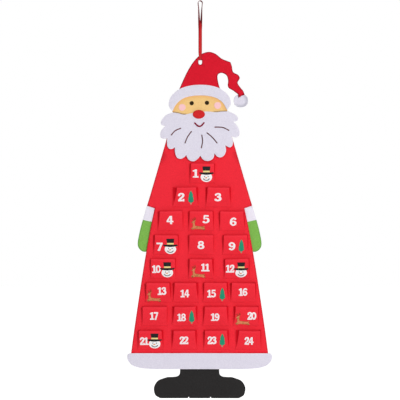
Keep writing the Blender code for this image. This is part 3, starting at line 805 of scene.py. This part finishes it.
def make_floor():
    n = Nodes("pale_floor")
    material = n.surface(n.mix(n.noise(3), (0.90, 0.90, 0.90), (0.94, 0.94, 0.94)), 0.9)
    n.put((1, 1, 1), n.shader.inputs["Emission Color"])
    lit = n.math("MULTIPLY", n.add("LightPath").outputs["Is Camera Ray"], FLOOR_GLOW)
    n.put(lit, n.shader.inputs["Emission Strength"])
    sides = ((-1, -1), (1, -1), (1, 1), (-1, 1))
    corners = [(x * FLOOR_REACH, y * FLOOR_REACH, FLOOR_Z) for x, y in sides]
    floor = add_piece("floor", corners, [(0, 1, 2, 3)], [material], smooth=False)


# Ribbon

def strand_point(depth, spread, turn, side):
    gap = STRAND_HALF_GAP + spread * (LOOP_HALF_GAP - STRAND_HALF_GAP)
    angle = math.radians(turn)
    return Vector((side * gap * math.cos(angle), side * gap * math.sin(angle), -depth * RIBBON_DROP))


def ribbon_route():
    """Stations (point, turn, gather, cup) from the knot through the hole, up the front, over and down."""
    knot_bottom = -RIBBON_DROP + KNOT_RISE
    entry = STRAND_HALF_GAP + KNOT_ENTRY
    route = [(Vector((0, entry, knot_bottom - KNOT_REACH)), 90, 1, 0)]
    for step in range(SADDLE_STEPS + 1):
        angle = math.pi * step / SADDLE_STEPS
        across = STRAND_HALF_GAP * math.cos(angle)
        route.append((Vector((0, across, -RIBBON_DROP - STRAND_HALF_GAP * math.sin(angle))), 90, 1, 1))
    for depth, gather in reversed(FRONT_END[:-1]):
        route.append((strand_point(depth, 0, 90, -1), 90, gather, gather))
    for depth, spread, turn in reversed(STRAND_STATIONS):
        route.append((strand_point(depth, spread, turn, -1), turn, 0, 0))
    top_turn = STRAND_STATIONS[0][2]
    left_top, right_top = route[-1][0], strand_point(*STRAND_STATIONS[0], 1)
    middle = (left_top + right_top) / 2
    rise = RIBBON_THICK / 2 - middle.z
    for step in range(1, LOOP_STEPS):
        angle = math.pi * step / LOOP_STEPS
        point = middle + (left_top - middle) * math.cos(angle) + Vector((0, 0, rise * math.sin(angle)))
        route.append((point, top_turn, 0, 0))
    for depth, spread, turn in STRAND_STATIONS:
        route.append((strand_point(depth, spread, turn, 1), turn, 0, 0))
    depth, gather = FRONT_END[0]
    route.append((strand_point(depth, 0, 90, 1) + Vector((0, KNOT_ENTRY / 2, 0)), 90, gather, 0))
    route.append((Vector((0, entry, knot_bottom + KNOT_HEIGHT + KNOT_REACH)), 90, 1, 0))
    return route


def ribbon_shade(points, normal):
    """In the open part of the loop the faces to the left are in shade, and below it the left half."""
    depth = -points[:, 2] / RIBBON_DROP
    across = normal[:, :, 0].ravel()
    loop = soft_step((0.43 - depth) / 0.13) * soft_step(0.6 - np.concatenate([across, -across]))
    left = soft_step((1.0 * MM - points[:, 0]) / (3 * MM))
    return np.maximum(loop, 0.7 * left * soft_step((0.66 - depth) / 0.25))


def ribbon_grid(values, across):
    """Points over the ribbon's width at each row of the route, cupped round the hat's hole."""
    grid = np.zeros((len(values), len(across), 3))
    for i, (x, y, z, turn, gather, cup) in enumerate(values):
        gather, cup = np.clip([gather, cup], 0, 1)
        angle = math.radians(turn)
        radius = max(z - HINGE_Z, LEAST_CUP)
        offset = across * (RIBBON_WIDTH + gather * (GATHERED_WIDTH - RIBBON_WIDTH)) / 2
        shift = offset + cup * (radius * np.sin(offset / radius) - offset)
        grid[i, :, 0] = x - math.sin(angle) * shift
        grid[i, :, 1] = y + math.cos(angle) * shift
        grid[i, :, 2] = z - cup * radius * (1 - np.cos(offset / radius))
    return grid


def make_ribbon(satin):
    stations = [[*point, turn, gather, cup] for point, turn, gather, cup in ribbon_route()]
    values = finer(np.array(stations), ROUTE_STEPS)
    across = np.linspace(-1, 1, ACROSS_STEPS + 1)
    grid = ribbon_grid(values, across)
    # Pleats where it is gathered, and a slight crown elsewhere, both away from the other strand.
    normal = normals(grid)
    gather = np.clip(values[:, 4], 0, 1)[:, None]
    pleat = gather * PLEAT_HEIGHT * (1 - np.cos(across * PLEATS * math.pi))
    crown = (1 - gather) * CROWN_HEIGHT * (1 - across**2)
    wave = WAVE_HEIGHT * np.sin(np.arange(len(values)) * WAVE_TURN)[:, None] * (1 - gather) * across
    centre = grid[:, ACROSS_STEPS // 2]
    strand = np.zeros_like(centre)
    strand[:, :2] = centre[:, :2]
    low = centre[:, 2] < -RIBBON_DROP
    strand[low] = centre[low] - np.array([0, 0, -RIBBON_DROP])
    side = np.sign((normal[:, ACROSS_STEPS // 2] * strand).sum(1))
    side[side == 0] = 1
    grid += normal * (side[:, None] * (pleat + crown) + wave)[:, :, None]
    half = np.full(ACROSS_STEPS + 1, HALF_THICK)
    half[[0, -1]] *= SELVEDGE_SWELL
    points, faces = shell(grid, half)
    floats = {"across": np.tile(across, 2 * len(values)), "shade": ribbon_shade(points, normal)}
    ribbon = add_piece("satin_ribbon", points, faces, [satin], floats=floats)
    stand_for(ribbon, "ribbon_loop", "ribbon")
    knot = make_knot(satin)


def ring_faces(first, last, around):
    """Faces between one ring of points and the next, from the ring that starts at first to the last."""
    faces = []
    for a in range(first, last, around):
        b = a + around
        for j in range(around):
            k = (j + 1) % around
            faces.append((a + j, b + j, b + k, a + k))
    return faces


def knot_ball(centre, size):
    """A ball with two shallow folds that wind round it, narrow at its waist."""
    v = math.pi * np.arange(KNOT_RINGS + 1)[:, None] / KNOT_RINGS
    u = math.tau * np.arange(KNOT_AROUND) / KNOT_AROUND
    fold = 1 - 0.13 * np.abs(np.sin(2.0 * u + 2.4 * v)) ** 0.7
    pull = 1 - 0.10 * np.exp(-(((v - math.pi / 2) / 0.35) ** 2))
    x, y, z = np.sin(v) * np.cos(u), np.sin(v) * np.sin(u), np.cos(v)
    x, y, z = (np.sign(a) * np.abs(a) ** power for a, power in ((x, 0.8), (y, 0.8), (z, 0.85)))
    ball = np.stack([x * fold * pull, y * fold * pull, z * fold], axis=2) * (size / 2) + centre
    points = [ball[0].mean(0), *ball[1:-1].reshape(-1, 3), ball[-1].mean(0)]
    end = len(points) - 1
    last = end - KNOT_AROUND
    faces = ring_faces(1, last, KNOT_AROUND)
    for j in range(KNOT_AROUND):
        k = (j + 1) % KNOT_AROUND
        faces += [(0, 1 + j, 1 + k), (last + j, end, last + k)]
    return points, faces


def make_knot(satin):
    """An overhand knot pulled tight, seen only from behind, with two short tails cut on the slant."""
    low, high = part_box("ribbon_knot")
    centre = (low + high) / 2
    points, faces = knot_ball(np.array(centre), np.array(high - low))
    across = [0.5] * len(points)
    # Both tails lie behind the hat, to the right of the knot.
    t = np.arange(TAIL_STEPS + 1)[:, None] / TAIL_STEPS
    s = np.linspace(-1, 1, TAIL_ACROSS)
    offset = s * (1.5 + 2.6 * np.minimum(1, 1.8 * t)) * MM
    for side, lean in zip((-1, 1), TAIL_LEANS):
        reach = TAIL_LENGTH * t * (1 - 0.16 * (1 - s * side) / 2 * t)
        tail = np.stack([
            centre.x + math.sin(lean) * reach + math.cos(lean) * offset,
            centre.y + (0.9 + 0.5 * side + 1.4 * np.sin(t * 2.6) + 0.35 * (1 - s * s) * t) * MM,
            centre.z + math.cos(lean) * reach - math.sin(lean) * offset,
        ], axis=2)
        tail_points, tail_faces = shell(tail, RIBBON_THICK / 2)
        faces += [tuple(len(points) + i for i in face) for face in tail_faces]
        points += list(tail_points)
        across += list(np.tile(s, 2 * (TAIL_STEPS + 1)))
    knot = add_piece("satin_knot", points, faces, [satin], floats={"across": across})
    stand_for(knot, "ribbon_knot", "ribbon")
    return knot


make_camera()
make_lamps()
make_world()
make_floor()
bpy.context.scene.view_settings.view_transform = "Standard"
make_ribbon(satin_material())


# Felt figure

def near(points, loops, fade, start=1.0):
    """How strong a mark is that fades away from the outlines. A start above 1 keeps it full for longer."""
    return soft_step(start - distance_to(points[:, [0, 2]], loops) / fade)


def coat_marks(points, loops):
    """Painted shade on the coat: a shadow along the beard and the hem, shade just above each pocket's mouth,
    and deep shade where the beard's slits show the coat.
    """
    beard, *slits = cut_lines("beard")
    hem = 0.9 * near(points, cut_lines("hem_trim"), 2.6 * MM, 1.4)
    deep = np.maximum(0.4 * near(points, [beard], 5 * MM, 1.2), hem)
    x, z = points[:, 0], points[:, 2]
    for left, right, rim in MOUTHS:
        sides = soft_step((x - left) / MOUTH_FADE) * soft_step((right - x) / MOUTH_FADE)
        above = np.interp((z - rim) / MM, (-3, -1, 0.5, MOUTH_SHADE / MM), (0, 1, 1, 0))
        deep = np.maximum(deep, 0.35 * sides * above)
    return {"crevice_shade": deep, "slit": near(points, slits, 1.8 * MM, 2)}


def coat_groups():
    """Points of the coat, close together, where its shade changes."""
    groups = []
    for node, reaches in (("beard", (1.0, 3.5, 6.5)), ("hem_trim", (0.6, 2.0, 4.5))):
        loop = smooth_loop(cut_lines(node)[0], 4 * MM, 0)
        groups.append(np.concatenate([loop + outward(loop) * reach * MM for reach in reaches]))
    heights = np.array([-5.0, -2.5, -1.0, 0.5, 2.0, 4.0, 6.5]) * MM
    for left, right, rim in MOUTHS:
        x, z = np.meshgrid(np.linspace(left - 2 * MM, right + 2 * MM, 24), rim + heights)
        groups.append(np.stack([x.ravel(), z.ravel()], axis=1))
    for loop in cut_lines("beard")[1:]:
        loop = smooth_loop(loop, 2 * MM, 0)[::2]
        groups.append(np.concatenate([loop + outward(loop) * reach for reach in (-2.0 * MM, -4.5 * MM)]))
    return groups


def face_marks(points, loops):
    """Painted shade under the brim and, at the face's two sides, a painted shadow line along the beard."""
    aside = np.abs(points[:, 0] - loops[0][:, 0].mean())
    sides = soft_step((aside - 36 * MM) / (10 * MM))
    line = near(points, cut_lines("beard"), 3.2 * MM, 1.25)
    return {"shade": near(points, cut_lines("hat_brim"), 13 * MM), "line": line * sides}


def beard_marks(points, loops):
    """Painted shade on the slits' walls, and half as much on the edge beside them."""
    reach = distance_to(points[:, [0, 2]], loops[1:])
    return {"slit": np.where(reach < 0.25 * MM, 1, np.where(reach < 0.7 * MM, 0.45, 0))}


def beard_groups():
    """Points of the beard close to its slits."""
    slits = [smooth_loop(loop, 1.6 * MM, 0) for loop in cut_lines("beard")[1:]]
    return [slit - outward(slit) * 1.6 * MM for slit in slits]


def pompom_marks(points, loops):
    """Painted shade, grey, at the pompom's right and lower edge."""
    low, high = loops[0].min(0), loops[0].max(0)
    x, z = ((points[:, [0, 2]] - (low + high) / 2) / (high - low) * 2).T
    return {"shade": soft_step((np.hypot(x, z) - 0.45) / 0.5) * soft_step(0.5 + 0.8 * x - 0.6 * z)}


def cheek_marks(points, loops):
    """The pink fades into the skin at the spot's edge."""
    reach = np.linalg.norm(points[:, [0, 2]] - loops[0].mean(0), axis=1)
    return {"fade": soft_step((reach - 9.0 * MM) / (2.6 * MM))}


# The coat's painted shade along the beard, the hem and the pockets' mouths, and in the beard's slits
coat_colours = [("crevice_shade", CREVICE_SHADE, 1.0), ("slit", SLIT_SHADE, 1.0)]
# Painted shade in the pockets' side folds, and a painted highlight on their rims
pocket_colours = [("fold", CREVICE_SHADE, 0.85), ("lip_highlight", (0.98, 0.05, 0.08), 0.35)]
# Painted shade in the beard's slits and at the pompom's edge
white_colours = [("slit", SLIT_SHADE, 1.0), ("shade", (0.40, 0.40, 0.47), 0.7)]
# Painted shade under the brim and a painted shadow line along the beard
skin_colours = [("shade", (0.82, 0.42, 0.15), 0.6), ("line", (0.10, 0.06, 0.06), 0.8)]
coat_felt = felt_material("coat_felt", COAT, 0.6, (0.36, 0.006, 0.014), coat_colours)
pocket_felt = felt_material("pocket_felt", COAT, marks=pocket_colours)
hat_felt = felt_material("hat_felt", HAT, 0.9, (0.24, 0.004, 0.016))
white_felt = felt_material("white_felt", WHITE, 0.25, WHITE_EDGE, white_colours)
skin_felt = felt_material("skin_felt", SKIN, 0.3, (0.60, 0.32, 0.12), skin_colours)
blush_felt = felt_material("blush_felt", BLUSH, marks=[("fade", SKIN[0], 1.0)])
nose_felt = felt_material("nose_felt", NOSE, 0.4, (0.36, 0.010, 0.016))
mouth_felt = felt_material("mouth_felt", MOUTH)
black_felt = felt_material("black_felt", BLACK)
eye_felt = felt_material("eye_felt", EYE)
cuff_felt = felt_material("cuff_felt", BRIGHT, 0.25, WHITE_EDGE)
mitten_felt = felt_material("mitten_felt", GREEN, 0.6, (0.06, 0.22, 0.03))

COAT_DETAIL = {"edge_spacing": 4 * MM, "marks": coat_marks, "groups": coat_groups()}
BEARD_DETAIL = {"edge_spacing": 1.6 * MM, "marks": beard_marks, "groups": beard_groups()}
SPOT = {"edge_spacing": 1.0 * MM, "wobble": 0.0, "lump": 0.0}
CHEEK = SPOT | {"marks": cheek_marks}
# Node, the node that carries it, felt, spacing of the face's points, other settings
FELT = (
    ("body_panel", "hat", coat_felt, 8 * MM, COAT_DETAIL),
    ("hat", "ribbon_loop", hat_felt, 5 * MM, {"band": 4 * MM}),
    ("hat_brim", "hat", white_felt, 5 * MM, {}),
    ("pompom", "hat", white_felt, 3 * MM, {"marks": pompom_marks}),
    ("face", "body_panel", skin_felt, 2.6 * MM, {"marks": face_marks}),
    ("beard", "face", white_felt, 5 * MM, BEARD_DETAIL),
    ("nose", "beard", nose_felt, 3 * MM, {"edge_spacing": 1.5 * MM, "lump": 0.05 * MM}),
    ("mouth", "beard", mouth_felt, 1.5 * MM, SPOT),
    ("eye_left", "face", eye_felt, 2 * MM, SPOT),
    ("eye_right", "face", eye_felt, 2 * MM, SPOT),
    ("cheek_left", "face", blush_felt, 1.6 * MM, CHEEK),
    ("cheek_right", "face", blush_felt, 1.6 * MM, CHEEK),
    ("cuff_left", "body_panel", cuff_felt, 5 * MM, {}),
    ("cuff_right", "body_panel", cuff_felt, 5 * MM, {}),
    ("mitten_left", "cuff_left", mitten_felt, 6 * MM, {}),
    ("mitten_right", "cuff_right", mitten_felt, 6 * MM, {}),
    ("hem_trim", "body_panel", white_felt, 6 * MM, {}),
    ("boots", "body_panel", black_felt, 7 * MM, {"wobble": 0.06 * MM, "sharp": BOOTS_SHARP_TURN}),
)
for number, (node, carrier, material, spacing, detail) in enumerate(FELT):
    piece, size, area = felt_piece(node, material, spacing, seed=number * 3.7, **detail)


# Pockets

def rounded_corner(before, corner, after, reach, count):
    """Points of a soft fold at a corner of a line."""
    corner = np.array(corner)
    found = []
    for end in (before, after):
        away = np.array(end) - corner
        length = max(float(np.linalg.norm(away)), 1e-9)
        found.append(corner + away / length * min(reach, 0.45 * length))
    t = np.linspace(0, 1, count)[:, None]
    return (1 - t) ** 2 * found[0] + 2 * t * (1 - t) * corner + t**2 * found[1]


def pocket_line(half, lean, insets, depth, bow, swing):
    """Middle of the pocket's felt at one level, from the left edge round the front to the right.

    Each point is (across, out, how deep in the side's fold, which sets its painted shade).
    """
    flat = POCKET_THICK / 2
    out = flat + lean * (depth - POCKET_THICK)
    deep = np.array(FOLD_DEPTHS)[:, None] * min(1, 2 * lean)
    foot = half - POCKET_FLANGE
    sides = []
    for inset in insets:
        front = half - (POCKET_FLANGE + FOLD_GAP + lean * (inset - POCKET_FLANGE))
        pleat = ((foot + front) / 2 - PLEAT_DEPTH * lean, flat + PLEAT_PLACE * (out - flat))
        line = ((half, flat), (foot, flat), pleat, (front, out), (0.0, out))
        folds = [rounded_corner(*line[k:k + 3], *fold) for k, fold in enumerate(FOLDS)]
        side = np.concatenate([[(half, flat), (half - EDGE_STRIP, flat)], *folds])
        sides.append(np.concatenate([side, deep], axis=1))
    left, right = sides[0] * (-1, 1, 1), sides[1][::-1]
    x = np.linspace(left[-1, 0], right[0, 0], FRONT_COLUMNS + 2)[1:-1]
    t = (x - (left[-1, 0] + right[0, 0]) / 2) / ((right[0, 0] - left[-1, 0]) / 2)
    bulge = lean * (bow * (1 - t**2) + swing * t * (1 - t**2))
    front = np.stack([x, out + bulge, np.zeros(len(x))], axis=1)
    return np.concatenate([left, front, right])


def pocket_grid(number, insets, low, high):
    """Middle of the pocket's felt, row by row upwards, and how deep each point is in a side's fold."""
    centre, half, height = (low.x + high.x) / 2, (high.x - low.x) / 2, high.z - low.z
    luck = np.random.default_rng(100 + number)
    lost, bow, swing, tilt, sag = [luck.uniform(*span) * MM for span in POCKET_LUCK]
    depth = POCKET_DEPTH - lost
    below = height - np.array(LIP_LEVELS) * MM
    front = np.linspace(POCKET_SEAM, below[0], FRONT_ROWS)
    levels = np.concatenate([np.array(SEAM_LEVELS) * MM, front, below[1:]])
    rows, folds = [], []
    for level in levels:
        rise = max(0.0, (level - POCKET_SEAM) / (height - POCKET_SEAM))
        line = pocket_line(half, 1 - (1 - rise) ** 1.35, insets, depth, bow, swing)
        # The front's rim tilts, sags in the middle and drops at its two corners, as cut felt does.
        t = line[:, 0] / np.abs(line[:, 0]).max()
        ahead = np.clip((line[:, 1] - POCKET_THICK) / (depth - POCKET_THICK), 0, 1)
        corners = CORNER_DROP * np.exp(-((np.abs(t) - 0.88) / 0.07) ** 2)
        drop = ahead * (sag * (1 - t**2) + tilt * t + corners)
        up = low.z + level - drop * rise**3
        rows.append(np.stack([centre + line[:, 0], high.y - line[:, 1], up], axis=1))
        folds.append(line[:, 2])
    grid = np.array(rows)
    x, z = grid[:, :, 0].ravel(), grid[:, :, 2].ravel()
    shift = warp(x, z) + lumps(x, z, 40 + number * 1.7, 0.16 * MM)
    grid[:, :, 1] += shift.reshape(grid.shape[:2])
    return grid, np.array(folds)


def make_pocket(number, insets):
    """The pocket, the middle of its place and the lines of its stitches."""
    node = POCKET_NODES[number - 1]
    low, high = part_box(node)
    grid, fold = pocket_grid(number, insets, low, high)
    # Thinner at the cut edges and pressed at the bottom seam
    thick = np.full(grid.shape[:2], POCKET_THICK / 2)
    thick[[0, -1]] *= 0.55
    thick[[1, -2]] *= 0.92
    thick[:, [0, -1]] *= 0.55
    thick[3, :] *= 0.72
    points, faces = shell(grid[::-1], thick[::-1])
    # Painted highlight along the front's rim, kept off the folds
    lip_highlight = np.zeros(grid.shape[:2])
    lip_highlight[-3:], lip_highlight[-4] = 1, 0.35
    lip_highlight *= 1 - fold
    # Painted shade along the bottom seam's groove, with the painted shade in the folds
    fold[2:4] = np.maximum(fold[2:4], 0.3)
    floats = {"lip_highlight": np.tile(lip_highlight[::-1].ravel(), 2), "fold": np.tile(fold[::-1].ravel(), 2)}
    piece = add_piece(node + "_felt", points, faces, [pocket_felt], floats=floats)
    stand_for(piece, node, "calendar")
    across, upward = steps_of(grid, 1).sum(1), steps_of(grid, 0)
    area = float(((across[1:] + across[:-1]) / 2 * upward.mean(1)).sum())
    width, length = float(across.max()), float(upward.sum(0).max())
    area = min(area, width * length)
    side_out, seam_out = (0, -0.46 * POCKET_THICK, 0), (0, -0.33 * POCKET_THICK, 0)
    lines = [grid[2:-1, 1] + side_out, grid[2:-1, -2] + side_out, grid[3, 2:-2] + seam_out]
    return piece, ((low.x + high.x) / 2, (low.z + high.z) / 2), lines


# Prints: shapes are distances (negative inside) on a fine grid, and their zero lines become outlines.

def stroke(x, y, rows, closed=False):
    """Distance to a brush stroke along smooth points. Each row is a point and the half width there."""
    values = np.array(rows)
    if closed:
        values = finer(np.concatenate([values[-2:], values, values[:2]]), 24)[48:-24]
    else:
        values = finer(values, 24)
    best = np.full(x.shape, np.inf)
    for px, py, half in values:
        best = np.minimum(best, np.hypot(x - px, y - py) - half)
    return best


def bar(x, y, left, right, low, high):
    across = np.abs(x - (left + right) / 2) - (right - left) / 2
    return np.maximum(across, np.abs(y - (low + high) / 2) - (high - low) / 2)


def oval(x, y, cx, cy, rx, ry):
    return (np.hypot((x - cx) / rx, (y - cy) / ry) - 1) * min(rx, ry)


def joined(shapes):
    return np.minimum.reduce(list(shapes))


def digit(mark, x, y):
    """A bold numeral with slab serifs, one unit high and about 0.78 wide."""
    if mark == "9":
        mark, x, y = "6", 2 * DIGIT_MIDDLE - x, 1 - y
    shapes = [bar(x, y, *sides) for sides in DIGIT_BARS.get(mark, ())]
    shapes += [stroke(x, y, rows) for rows in DIGIT_STROKES.get(mark, ())]
    for up, rx, ry, half, more in DIGIT_RINGS.get(mark, ()):
        turns = [(math.cos(a), math.sin(a)) for a in np.arange(16) * math.tau / 16]
        ring = [(DIGIT_MIDDLE + rx * c, up + ry * s, half + more * abs(c)) for c, s in turns]
        shapes.append(stroke(x, y, ring, closed=True))
    shape = joined(shapes)
    return np.maximum(shape, -y) if mark == "7" else shape


def print_grid(kind):
    width, height = PRINT_SIZES[kind]
    xs = np.arange(-width / 2, width / 2 + PRINT_STEP, PRINT_STEP)
    ys = np.arange(-height / 2, height / 2 + PRINT_STEP, PRINT_STEP)
    return np.meshgrid(xs, ys, indexing="ij")


def numeral_shapes(number):
    x, y = print_grid("numeral")
    marks = str(number)
    height, squeeze, weight, shifts = NUMERALS[len(marks) - 1]
    across, up = x / height / squeeze, y / height + 0.5
    digits = [digit(mark, across + shift, up) for mark, shift in zip(marks, shifts)]
    return x, y, [(joined(digits) * height - weight, "chalk")]


def both_sides(rows):
    """A line's left half and the same mirrored."""
    return rows + [(-a, b, half) for a, b, half in rows[-2::-1]]


def snowman_shapes():
    """A snowman's head in a top hat."""
    x, y = print_grid("snowman")
    u, v = x / MM, y / MM
    flare = 9.7 + 0.12 * (v - 5)
    crown = np.maximum(np.abs(u) - flare, np.abs(v - 13.4) - 9.1)
    band = np.maximum(np.abs(u) - flare - 0.1, np.abs(v - 7.5) - 2.5)
    brim = stroke(u, v, both_sides([(-19.4, 2.8, 2.3), (-12, 1.7, 3.0), (0, 1.0, 3.4)]))
    face = oval(u, v, 0, -9.3, 17.2, 14.4)
    eyes = joined(oval(u, v, across, -7.0, 1.35, 1.7) for across in (-5.2, 5.2))
    nose = stroke(u, v, [(0.4, -10.8, 1.6), (-2.4, -11.4, 1.2), (-5.2, -12.4, 0.5)])
    smile = stroke(u, v, both_sides([(-8.6, -14.4, 1.2), (-4.8, -17.7, 1.0), (0, -18.8, 1.05)]))
    return x, y, [
        (face * MM, "white"), (brim * MM, "black"), (crown * MM, "black"), (band * MM, "cream"),
        (eyes * MM, "black"), (nose * MM, "orange"), (smile * MM, "black"),
    ]


def tree_shapes():
    """A slender fir with a short trunk."""
    x, y = print_grid("tree")
    u, v = np.abs(x) / MM, y / MM
    tiers = [oval(u, v, 0, -8.8, 8.2, 6.6)]
    for top, low, half in ((20.5, 4.5, 7.2), (13.0, -4.5, 8.8), (4.5, -11.0, 9.0)):
        slope = half * np.clip((top - v) / (top - low), 0, 1) ** 0.72
        scallop = 0.8 * np.cos(u / half * math.tau)
        tiers.append(np.maximum(u - slope, low + scallop - v))
    tree = np.maximum(joined(tiers), v - 20.5)
    trunk = bar(x / MM, v, -2.3, 2.3, -20.8, -13.0)
    return x, y, [(trunk * MM, "wood"), (tree * MM, "green")]


def reindeer_shapes():
    """A leaping reindeer seen from the side, with dark antlers and a dark line round it."""
    x, y = print_grid("reindeer")
    u, v = x / MM, y / MM
    body = (
        ((-9.5, -12.0, 4.5), (2, -13.6, 4.1), (13.5, -14.2, 3.8)),
        ((-10.5, -11.0, 4.4), (-12.0, -4.0, 3.0), (-11.6, 4.0, 2.4)),
        ((-11.3, 5.2, 2.5), (-14.2, 3.8, 1.9), (-17.4, 1.8, 1.2)),
        ((-10.3, 6.2, 1.0), (-8.0, 7.6, 0.8), (-6.8, 7.8, 0.5)),
        ((-11.5, -14.0, 2.6), (-15.8, -14.2, 1.5), (-19.2, -15.8, 1.0)),
        ((-9.5, -14.6, 2.6), (-13.2, -17.2, 1.4), (-16.4, -18.6, 1.0)),
        ((14.5, -14.8, 3.0), (18.4, -16.2, 1.7), (21.2, -18.2, 1.0)),
        ((12.5, -15.4, 2.8), (15.4, -17.6, 1.6), (18.6, -19.6, 1.0)),
        ((16.8, -11.8, 1.5), (18.8, -10.2, 1.1), (20.2, -10.0, 0.6)),
    )
    antlers = (
        ((-11.6, 6.8, 0.95), (-10.0, 11.2, 0.8), (-6.0, 16.4, 0.6)),
        ((-9.8, 11.2, 0.8), (-7.2, 11.6, 0.7), (-4.8, 12.2, 0.55)),
        ((-8.6, 13.4, 0.75), (-9.4, 15.4, 0.7), (-9.6, 17.4, 0.55)),
        ((-12.4, 6.8, 0.95), (-14.2, 10.8, 0.8), (-13.2, 16.2, 0.6)),
        ((-13.9, 10.4, 0.8), (-16.2, 11.8, 0.7), (-17.4, 13.8, 0.55)),
    )
    deer, horns = (joined(stroke(u, v, rows) for rows in lines) for lines in (body, antlers))
    return x, y, [(joined([horns, deer - 0.6]) * MM, "rust"), (deer * MM, "tan")]


def zero_lines(x, y, values):
    """Closed lines where the values change sign, with the negative side on their left."""
    following, place = {}, {}
    values = np.where(np.abs(values) < PRINT_LEAST, PRINT_LEAST, values)
    sign = values < 0
    near, right, above, far = sign[:-1, :-1], sign[1:, :-1], sign[:-1, 1:], sign[1:, 1:]
    for i, j in np.argwhere((near != right) | (near != above) | (far != right)):
        corners = ((i, j), (i + 1, j), (i + 1, j + 1), (i, j + 1))
        names = ((i, j, 0), (i + 1, j, 1), (i, j + 1, 0), (i, j, 1))
        leave, enter = [], []
        for k in range(4):
            a, b = corners[k], corners[(k + 1) % 4]
            if sign[a] == sign[b]:
                continue
            (leave if sign[a] else enter).append(k)
            if names[k] not in place:
                t = values[a] / (values[a] - values[b])
                place[names[k]] = (x[a] + t * (x[b] - x[a]), y[a] + t * (y[b] - y[a]))
        middle = sum(values[corner] for corner in corners)
        for k in leave:
            later = sorted(enter, key=lambda e: (e - k) % 4)
            following[names[k]] = names[later[0] if len(enter) == 2 and middle < 0 else later[-1]]
    return closed_lines(following, place)


def fewer_points(loop):
    """The same line without the points that it can do without."""
    for _ in range(3):
        before, after = np.roll(loop, 1, axis=0), np.roll(loop, -1, axis=0)
        chord, step = after - before, loop - before
        length = np.maximum(np.linalg.norm(chord, axis=1), 1e-9)
        off = np.abs(chord[:, 0] * step[:, 1] - chord[:, 1] * step[:, 0]) / length
        tiny = np.linalg.norm(step, axis=1) < TINY_STEP
        drop = (off < PRINT_SLACK) & (length < LONGEST_CHORD) | tiny
        drop[1:] &= ~drop[:-1]
        drop[0] = False
        if len(loop) - drop.sum() < FEWEST_POINTS:
            break
        loop = loop[~drop]
    return loop


def make_print(name, shapes, place, tree):
    """Thin raised ink on the front of a pocket, following its curve."""
    all_points, all_faces, indices, inks = [], [], [], []
    total = 0
    x, y, parts = shapes
    for layer, (values, ink) in enumerate(parts):
        loops = [fewer_points(loop) for loop in zero_lines(x, y, values)]
        if ink not in inks:
            inks.append(ink)
        for loop in [loop for loop in loops if area_of(loop) > 0]:
            holes = [h for h in loops if area_of(h) < 0 and inside(h[:1], [loop])[0]]
            points, faces, _ = flat_solid([loop] + holes, PRINT_SPACING, PRINT_THICK, PRINT_ROUNDING, MM)
            points[:, [0, 2]] += place
            for point in points:
                hit = tree.ray_cast(Vector((point[0], IN_FRONT, point[2])), Vector((0, 1, 0)))[0]
                point[1] += hit.y - PRINT_RISE - layer * LAYER_RISE
            all_points.append(points)
            all_faces += [tuple(total + i for i in face) for face in faces]
            indices += [inks.index(ink)] * len(faces)
            total += len(points)
    materials = [INKS[ink] for ink in inks]
    piece = add_piece(name, np.concatenate(all_points), all_faces, materials, face_materials=indices)
    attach(piece, "calendar")


def make_stitches(lines):
    """One thread stitch after another along each line, each a short bead with sunk ends."""
    points, faces = [], []
    turns = [math.tau * m / STITCH_AROUND for m in range(STITCH_AROUND)]
    for line in lines:
        along = np.concatenate([[0], np.cumsum(steps_of(line, 0))])
        count = int(along[-1] / STITCH_PITCH)
        for k in range(count):
            middle = (k + 0.5) * along[-1] / count
            reach = (middle - STITCH_LENGTH / 2, middle + STITCH_LENGTH / 2)
            a, b = np.stack([np.interp(reach, along, line[:, c]) for c in range(3)], axis=1)
            axis = (b - a) / np.linalg.norm(b - a)
            side = np.cross(axis, (0, -1, 0))
            side /= np.linalg.norm(side)
            out = np.cross(side, axis)
            start = len(points)
            for share, size, rise in STITCH_RINGS:
                centre = (a + b) / 2 + axis * share * STITCH_LENGTH / 2 + out * rise * STITCH_RADIUS
                for turn in turns:
                    away = side * math.cos(turn) * 1.15 + out * math.sin(turn)
                    points.append(centre + away * size * STITCH_RADIUS)
            last = len(points) - STITCH_AROUND
            faces += ring_faces(start, last, STITCH_AROUND)
            faces.append(tuple(range(start, start + STITCH_AROUND)))
            faces.append(tuple(reversed(range(last, last + STITCH_AROUND))))
    piece = add_piece("pocket_stitches", points, faces, [thread_material()])
    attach(piece, "calendar")


INKS = {ink: print_material(ink + "_ink", *colours) for ink, colours in INK_COLOURS.items()}
FIGURES = {"snowman": snowman_shapes(), "tree": tree_shapes(), "reindeer": reindeer_shapes()}
stitch_lines = []
for number, left, right, numeral_x, numeral_z, *figure in POCKETS:
    pocket, (centre_x, centre_z), lines = make_pocket(number, (left * MM, right * MM))
    stitch_lines += lines
    mesh = pocket.data
    tree = BVHTree.FromPolygons([v.co[:] for v in mesh.vertices], [p.vertices[:] for p in mesh.polygons])
    place = (centre_x + numeral_x * MM, centre_z + numeral_z * MM)
    make_print(f"numeral_{number:02d}", numeral_shapes(number), place, tree)
    if figure:
        kind, across, up = figure
        place = (centre_x + across * MM, centre_z + up * MM)
        make_print(f"{kind}_{number:02d}", FIGURES[kind], place, tree)
make_stitches(stitch_lines)
